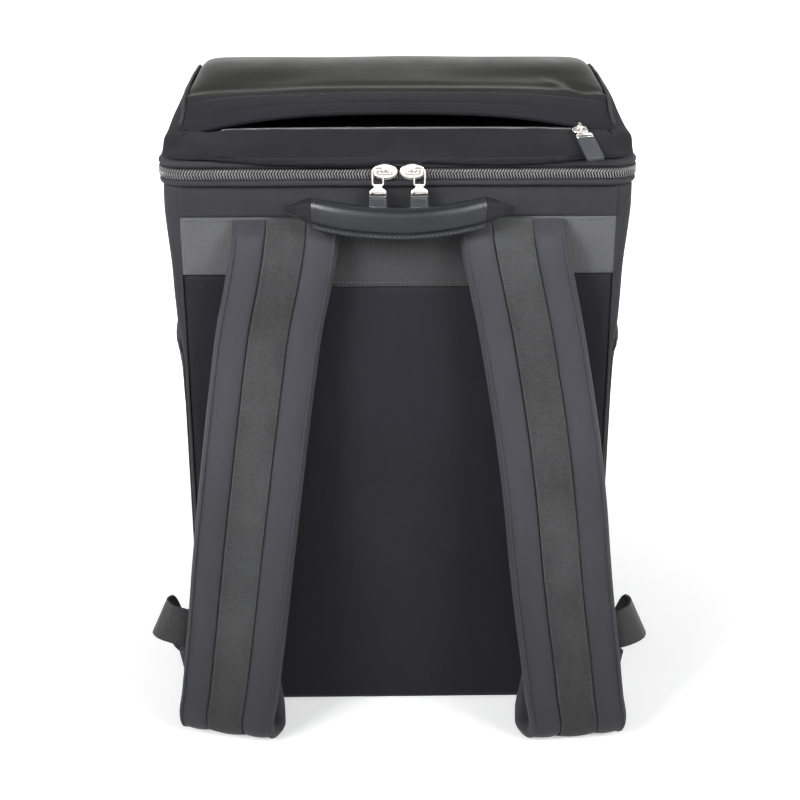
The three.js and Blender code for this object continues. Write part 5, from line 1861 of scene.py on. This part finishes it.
STRAP_ROUTES: dict[Side, tuple[tuple[float, float, float, float], ...]] = {
    Side.LEFT: (
        (0.0, 0.513, 0.02, 0), (0.012, 0.515, 0.048, 0.5), (0.028, 0.518, 0.08, 1), (0.065, 0.532, 0.1, 1),
        (0.12, 0.56, 0.108, 1), (0.19, 0.6, 0.119, 1), (0.29, 0.64, 0.148, 1), (0.4, 0.68, 0.182, 1),
        (0.52, 0.722, 0.216, 1), (0.63, 0.76, 0.247, 1), (0.73, 0.793, 0.268, 1), (0.82, 0.824, 0.285, 1),
        (0.9, 0.853, 0.3, 1),
    ),
    Side.RIGHT: (
        (0.0, 0.52, 0.02, 0), (0.012, 0.522, 0.052, 0.5), (0.028, 0.525, 0.086, 1), (0.065, 0.542, 0.106, 1),
        (0.12, 0.574, 0.113, 1), (0.19, 0.614, 0.125, 1), (0.29, 0.661, 0.165, 1), (0.4, 0.707, 0.206, 1),
        (0.52, 0.748, 0.24, 1), (0.63, 0.778, 0.27, 1), (0.73, 0.81, 0.296, 1), (0.82, 0.843, 0.319, 1),
        (0.9, 0.869, 0.338, 1),
    ),
}


@dataclass
class Strap:
    """Padded strap with webbing along its middle, curled under at its foot, and the webbing behind it."""

    finishes: Finishes
    seamwork: Seamwork
    tub: Tub
    side: Side
    twist: float = 14.0
    width: float = 69.0
    thickness: float = 12.5
    root: float = 3.0
    curl: float = 9.5
    curl_radius: float = 14.5
    lowest: float = 2.0
    rear_rise: float = 42.0
    rear_shift: float = 9.0
    webbing: float = 25.0
    ply: float = 1.6
    lock: tuple[float, float, float] = (32.0, 16.0, 5.0)
    loop_width: float = 29.0
    fold_x: float = 167.0
    fold_z: float = 83.0
    anchor_z: float = 45.0
    loop_lean: float = 24.0
    steps: int = 190

    @property
    def name(self) -> str:
        """Returns left or right."""
        return self.side.name.lower()

    def rows(self) -> Array:
        """Returns the strap's table: x, y, z, thickness, twist and how far round the curl it is."""
        sign, rows = self.side.value, []
        seam = YOKE_FOOT - 2 * GAP
        for drop, side, out, full in STRAP_ROUTES[self.side]:
            thick = self.root + (self.thickness - self.root) * full
            place = (sign * side * PANEL_HALF, BACK_Y - out * DEPTH, seam * (1 - drop))
            rows.append((*place, thick, float(smooth(drop, 0.4, 1.0)), 0.0))
        last = STRAP_ROUTES[self.side][-1]
        side, out = last[1] * PANEL_HALF + 3, last[2] * DEPTH - self.curl_radius
        centre = self.lowest + self.curl_radius
        for degrees in range(0, 181, 15):
            angle = math.radians(degrees)
            y = BACK_Y - out - self.curl_radius * math.cos(angle)
            z = centre - self.curl_radius * math.sin(angle)
            inward = self.rear_shift * float(smooth(degrees, 20, 130))
            rows.append((sign * (side - inward), y, z, self.curl, 1.0, math.sin(angle)))
        for share in (0.5, 1.0):
            y = BACK_Y - out + self.curl_radius + 2 * share
            inward = 2 * share + self.rear_shift * (1 - share)
            rows.append((sign * (side - inward), y, centre + self.rear_rise * share, self.curl, 1 - 0.5 * share, 0.0))
        return np.array(rows)

    def frames(self) -> tuple[Path, Array, Array]:
        """Returns the strap's path, its thickness and how far round the curl each point is."""
        table = curve_by_length(self.rows(), np.linspace(0, 1, self.steps))
        origin = table[:, :3]
        tangent = unit(np.gradient(origin, axis=0))
        angle = self.side.value * math.radians(self.twist) * table[:, 4]
        across = stacked(np.cos(angle), np.sin(angle), 0.0)
        out = unit(np.cross(tangent, across))
        return Path(origin, across, out), table[:, 3], table[:, 5]

    def pad_section(self, thickness: Array) -> Array:
        """Returns the section of the two padded ribs with the groove between them, one for each ring."""
        half, groove = self.width / 2, self.webbing / 2 + GAP
        rib = [
            (0, -1.9, 0), (5, -1.9, 0), (groove - 1.2, -1.9, 0), (groove, -1.6, 0), (groove + 0.5, -0.6, 0),
            (groove + 1.4, 0.25, 0), (groove + 3.4, 0.9, 0), (groove + 6.5, 1.3, 0), (groove + 10, 1.25, 0),
            (groove + 13, 0.9, 0), (groove + 15.5, 0.35, 0), (groove + 17, -0.15, 0), (half - 4.0, -0.3, 0),
            (half - 2.8, -0.35, 0), (half - 1.6, -0.9, 0), (half - 0.6, -1.2, -0.1), (half - 0.1, -0.6, -0.3),
            (half, 0, -0.5), (half - 0.3, 0, -0.68), (half - 1.2, 0, -0.84), (half - 3, 0, -0.95), (half - 6, 0, -1),
            (half - 14, -0.3, -1), (10, -0.3, -1), (0, -0.2, -1),
        ]
        table = np.array(rib)
        swell = (thickness / self.thickness)[:, None]
        up = np.where(table[None, :, 2] < 0, 1.0, swell) * table[None, :, 1] + table[None, :, 2] * thickness[:, None]
        right = stacked(table[None, :, 0], up)
        return np.concatenate([right, right[:, -2:0:-1] * [-1, 1]], 1)

    def pad(self, path: Path, thickness: Array) -> None:
        """Makes the padded strap and swells it between its seams."""
        section = self.pad_section(thickness)
        rings = path.rings(section)
        draft = MeshDraft()
        draft.add_loft(rings)
        piece = draft.build("pad_" + self.name, [self.finishes.pad])
        across = np.abs(section[..., 0])
        outer = section[..., 1] > -0.5 * thickness[:, None]
        groove = self.webbing / 2 + 1.6
        free = smooth(across, groove, groove + 5) * (1 - smooth(across, self.width / 2 - 5.5, self.width / 2 - 2.5))
        ends = smooth(np.arange(self.steps), 4, 14) * smooth(np.arange(self.steps)[::-1], 2, 12)
        held = 1 - free * outer * ends[:, None]
        Inflation(pressure=4.0, most_mm=1.3).swell(piece, held.ravel())
        settle(piece, "bag", "pad_cloth", "strap_pad_" + self.name)

    def trims(self, path: Path, thickness: Array) -> None:
        """Makes the bound edges and the stitches beside the webbing."""
        last = self.steps - 4
        draft = MeshDraft()
        for sign in (-1, 1):
            line = path.shifted(sign * (self.width / 2 - 2.9), -0.15 * thickness / self.thickness)[6:last]
            draft.add_loft(capsule_along(line, 0.75, 8))
            side = path.shifted(sign * (self.width / 2 - 0.35), -0.5 * thickness)[6:last]
            draft.add_loft(capsule_along(side, 0.6, 8))
            self.seamwork.dark.append(path.shifted(sign * (self.webbing / 2 - 1.4), 0.22)[3:last])
        settle(draft.build("strap_binding_" + self.name, [self.finishes.pad]), "bag", "pad_cloth")

    def strip(self, path: Path, curled: Array) -> None:
        """Makes the webbing along the strap's middle, loose round the curl."""
        half = self.webbing / 2
        x = np.linspace(-half, half, 13)
        crown = 0.25 * (1 - (x / half) ** 2)
        top = stacked(x, crown)
        low = stacked(x[::-1], -self.ply)
        low[0, 0], low[-1, 0] = half - 0.1, -half + 0.1
        section = np.repeat(np.concatenate([top, low])[None], self.steps, 0)
        loose = smooth(curled, 0.1, 0.95)[:, None]
        section[:, :13, 1] += loose * (0.4 + 1.0 * (1 - (x / half) ** 2))
        places = path.origin
        section[:, :13, 1] += 0.12 * ripple(places, 28, 51 + self.side.value)[:, None]
        draft = MeshDraft()
        draft.add_loft(path.rings(section), along=measured(places))
        piece = draft.build("strap_webbing_" + self.name, [self.finishes.webbing], sharp=60)
        settle(piece, "bag", "webbing", "strap_web_" + self.name)

    def ladder_lock(self) -> tuple[Array, Array, Array]:
        """Makes the buckle behind the strap's foot.

        Returns:
            The lock's middle, and its directions across and along.
        """
        rows = self.rows()
        before, end = rows[-2, :3], rows[-1, :3]
        tangent = unit(end - before)
        angle = self.side.value * math.radians(self.twist) * rows[-1, 4]
        across = np.array([math.cos(angle), math.sin(angle), 0.0])
        out = unit(np.cross(tangent, across))
        along = -np.cross(out, across)
        width, height, depth = self.lock
        centre = end - out * rows[-1, 3] / 2 + along * (height / 2 + 2 * GAP)
        place = Placement(centre, across, along, np.cross(across, along))
        draft = MeshDraft()
        line = rounded_box_section(width - 4.4, height - 3.6, 2.2, 5)
        draft.add_loft(place.put(hoop(line, rounded_box_section(3.4, depth, 0.9))), loop=True)
        bar = rounded_box_section(2.6, depth * 0.7, 0.9)
        ends = np.linspace(-width / 2 + 2, width / 2 - 2, 12)
        draft.add_loft(place.put(stacked(ends[:, None], bar[None, :, 0], bar[None, :, 1])))
        piece = draft.build("buckle_" + self.name, [self.finishes.buckle], sharp=50)
        settle(piece, "bag", "buckle", "ladder_lock_" + self.name)
        return centre, across, along

    def loop(self, centre: Array, across: Array, along: Array) -> None:
        """Makes the webbing that leaves the buckle, folds beside the bag and returns to the side seam."""
        sign = self.side.value
        start = centre + across * sign * (self.lock[0] / 2 + 2 * GAP)
        start = start + along * ((self.loop_width - self.lock[1]) / 2 + GAP)
        fold_x, fold_z, anchor_z, lean = self.fold_x, self.fold_z, self.anchor_z, math.radians(self.loop_lean)
        anchor_x = float(self.tub.half_width(anchor_z)) + 2 * GAP
        depth = BACK_Y - start[1]
        route = [(0, 0, 0, 0), (0.3, 0.1, 0.02, 0.3), (0.62, 0.12, 0.04, 0.7)]
        route += [(0.9, 0.02, 0.05, 1), (1.0, -0.2, 0.04, 1), (0.93, -0.42, 0.02, 1)]
        rows = []
        for share, out, rise, turn in route:
            x = abs(start[0]) + (fold_x - abs(start[0])) * share
            rows.append((x, depth * (1 + out), start[2] + (fold_z - start[2]) * share + rise, turn))
        rows.append((anchor_x + (fold_x - anchor_x) * 0.45, depth * 0.25, anchor_z + (fold_z - anchor_z) * 0.38, 0.5))
        rows.append((anchor_x, -3.0, anchor_z, 0.0))
        table = np.array([(sign * x, BACK_Y - d, z, turn) for x, d, z, turn in rows])
        table = curve_by_length(table, np.linspace(0, 1, 70))
        origin = table[:, :3]
        tangent = unit(np.gradient(origin, axis=0))
        angle = lean * table[:, 3]
        up = stacked(-sign * np.sin(angle), 0.0, np.cos(angle))
        path = Path(origin, up, unit(np.cross(tangent, up)))
        half, ply = self.loop_width / 2, self.ply / 2
        x = np.linspace(half, -half, 11)
        section = np.concatenate([stacked(x, ply), stacked(x[::-1], -ply)])
        draft = MeshDraft()
        draft.add_loft(path.rings(section), along=measured(origin))
        piece = draft.build("lower_webbing_" + self.name, [self.finishes.loop], sharp=60)
        settle(piece, "bag", "webbing", "lower_web_" + self.name)

    def build(self) -> None:
        """Makes the strap and what is behind it."""
        path, thickness, curled = self.frames()
        self.pad(path, thickness)
        self.trims(path, thickness)
        self.strip(path, curled)
        self.loop(*self.ladder_lock())


# Room


@dataclass
class Room:
    """Pale floor, soft light and the camera."""

    camera_mm: tuple[float, float, float] = (-14.9, -998.7, 604.8)
    azimuth: float = -1.0
    elevation: float = 22.0
    focal_px: float = 1455.0
    frame_px: float = 800.0
    sensor: float = 36.0

    def camera(self) -> None:
        """Puts the camera where the bag is seen from."""
        data = bpy.data.cameras.new("camera")
        data.sensor_width = self.sensor
        data.lens = self.focal_px / self.frame_px * self.sensor
        data.clip_start, data.clip_end = 0.05, 60
        eye = linked("camera", data)
        az, el = math.radians(self.azimuth), math.radians(self.elevation)
        forward = Vector((-math.sin(az) * math.cos(el), math.cos(az) * math.cos(el), -math.sin(el)))
        eye.location = Vector(self.camera_mm) * MM
        eye.rotation_mode = "QUATERNION"
        eye.rotation_quaternion = forward.to_track_quat("-Z", "Y")
        bpy.context.scene.camera = eye

    def lamp(
        self,
        name: str,
        place: Sequence[float],
        aim: Sequence[float],
        size: float,
        power: float,
        spread: float = 180,
        mirrored: bool = True,
    ) -> None:
        """Adds a soft square light.

        Args:
            name: of the light.
            place: in metres.
            aim: point it faces, in metres.
            size: edge length in metres.
            power: in watts.
            spread: of the beam in degrees.
            mirrored: whether glossy faces show the light.
        """
        data = bpy.data.lights.new(name, "AREA")
        data.size, data.energy, data.spread = size, power, math.radians(spread)
        light = linked(name, data)
        light.location = place
        light.visible_glossy = mirrored
        light.rotation_mode = "QUATERNION"
        light.rotation_quaternion = (Vector(aim) - Vector(place)).to_track_quat("-Z", "Y")

    def floor(self) -> None:
        """Adds the plain pale floor, which sweeps up into a round wall far away; it glows evenly, dimmer near the bag
        as a painted contact shadow.
        """
        reach, fillet, height = 11.0, 4.0, 14.0
        turn = np.radians(np.linspace(-90, 0, 10))
        profile = [(0.4, 0.0), (3.0, 0.0), *zip(reach + fillet * np.cos(turn), fillet + fillet * np.sin(turn))]
        profile.append((reach + fillet, height))
        around = np.linspace(0, TAU, 72, endpoint=False)
        rings = [[(r * math.cos(a), r * math.sin(a), z) for a in around] for r, z in profile]
        places = [(0.0, 0.0, 0.0), *(point for ring in rings for point in ring)]
        count = len(around)
        faces = [(0, 1 + k, 1 + (k + 1) % count) for k in range(count)]
        for ring in range(len(rings) - 1):
            low = 1 + ring * count
            for k in range(count):
                after = (k + 1) % count
                faces.append((low + k, low + count + k, low + count + after, low + after))
        mesh = bpy.data.meshes.new("floor")
        mesh.from_pydata(places, [], faces)
        mesh.shade_smooth()
        board = NodeBoard("pale floor", (0.93, 0.93, 0.93), 0.7)
        # Painted shadow: the floor's glow drops from 0.75 m in towards 0.12 m from the middle, standing in for the
        # bag's contact shadow.
        away = board.node("ShaderNodeVectorMath", {0: board.place()}, operation="LENGTH").outputs["Value"]
        shadow_glow_range = {"Value": away, "From Min": 0.12, "From Max": 0.75, "To Min": 0.36, "To Max": 1.0}
        glow_with_painted_shadow = board.node("ShaderNodeMapRange", shadow_glow_range, interpolation_type="SMOOTHSTEP").outputs["Result"]
        board.tune({"Specular IOR Level": 0.1, "Emission Color": (1, 1, 1, 1), "Emission Strength": glow_with_painted_shadow})
        mesh.materials.append(board.material)
        ground = linked("floor", mesh)
        ground.visible_diffuse = False
        ground.visible_shadow = False

    def build(self) -> None:
        """Sets up the room."""
        world = bpy.data.worlds.new("studio")
        world.use_nodes = True
        back = world.node_tree.nodes["Background"]
        back.inputs["Color"].default_value = (1, 1, 1, 1)
        back.inputs["Strength"].default_value = 0.17
        bpy.context.scene.world = world
        self.camera()
        self.floor()
        self.lamp("left softbox", (-1.1, -1.1, 1.1), (0, 0, 0.46), 0.7, 4.3, 58)
        self.lamp("right softbox", (1.1, -1.1, 1.1), (0, 0, 0.46), 0.7, 3.0, 58)
        self.lamp("front fill", (0, -2.4, 1.6), (0, 0, 0.3), 1.2, 6)
        self.lamp("back fill", (0.5, 2.4, 0.9), (0, 0, 0.2), 1.2, 16, mirrored=False)
        self.lamp("top", (0.0, 0.3, 2.0), (0, 0, 0.4), 1.2, 3)
        bpy.context.scene.view_settings.view_transform = "Standard"


def corners(box: tuple[Vector, Vector]) -> list[list[float]]:
    """Returns a box as plain lists."""
    return [[round(float(x), 6) for x in corner] for corner in box]


def main() -> None:
    """Builds the bag's looks in order."""
    logging.basicConfig(level=logging.INFO, format="%(message)s")
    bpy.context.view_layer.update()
    finishes, seamwork = Finishes(), Seamwork()
    Room().build()
    tub = Tub(finishes)
    tub.build()
    BackPanels(finishes, seamwork).build()
    SidePockets(finishes, seamwork, tub).build()
    RimZip(finishes).build()
    Lid(finishes, seamwork).build()
    main_pull(finishes, "left", -1).build()
    main_pull(finishes, "right", 1).build()
    pocket_pull(finishes).build()
    Handle(finishes, seamwork).build()
    Strap(finishes, seamwork, tub, Side.LEFT).build()
    Strap(finishes, seamwork, tub, Side.RIGHT, twist=6.0).build()
    seamwork.sew(finishes)


if __name__ == "__main__":
    main()
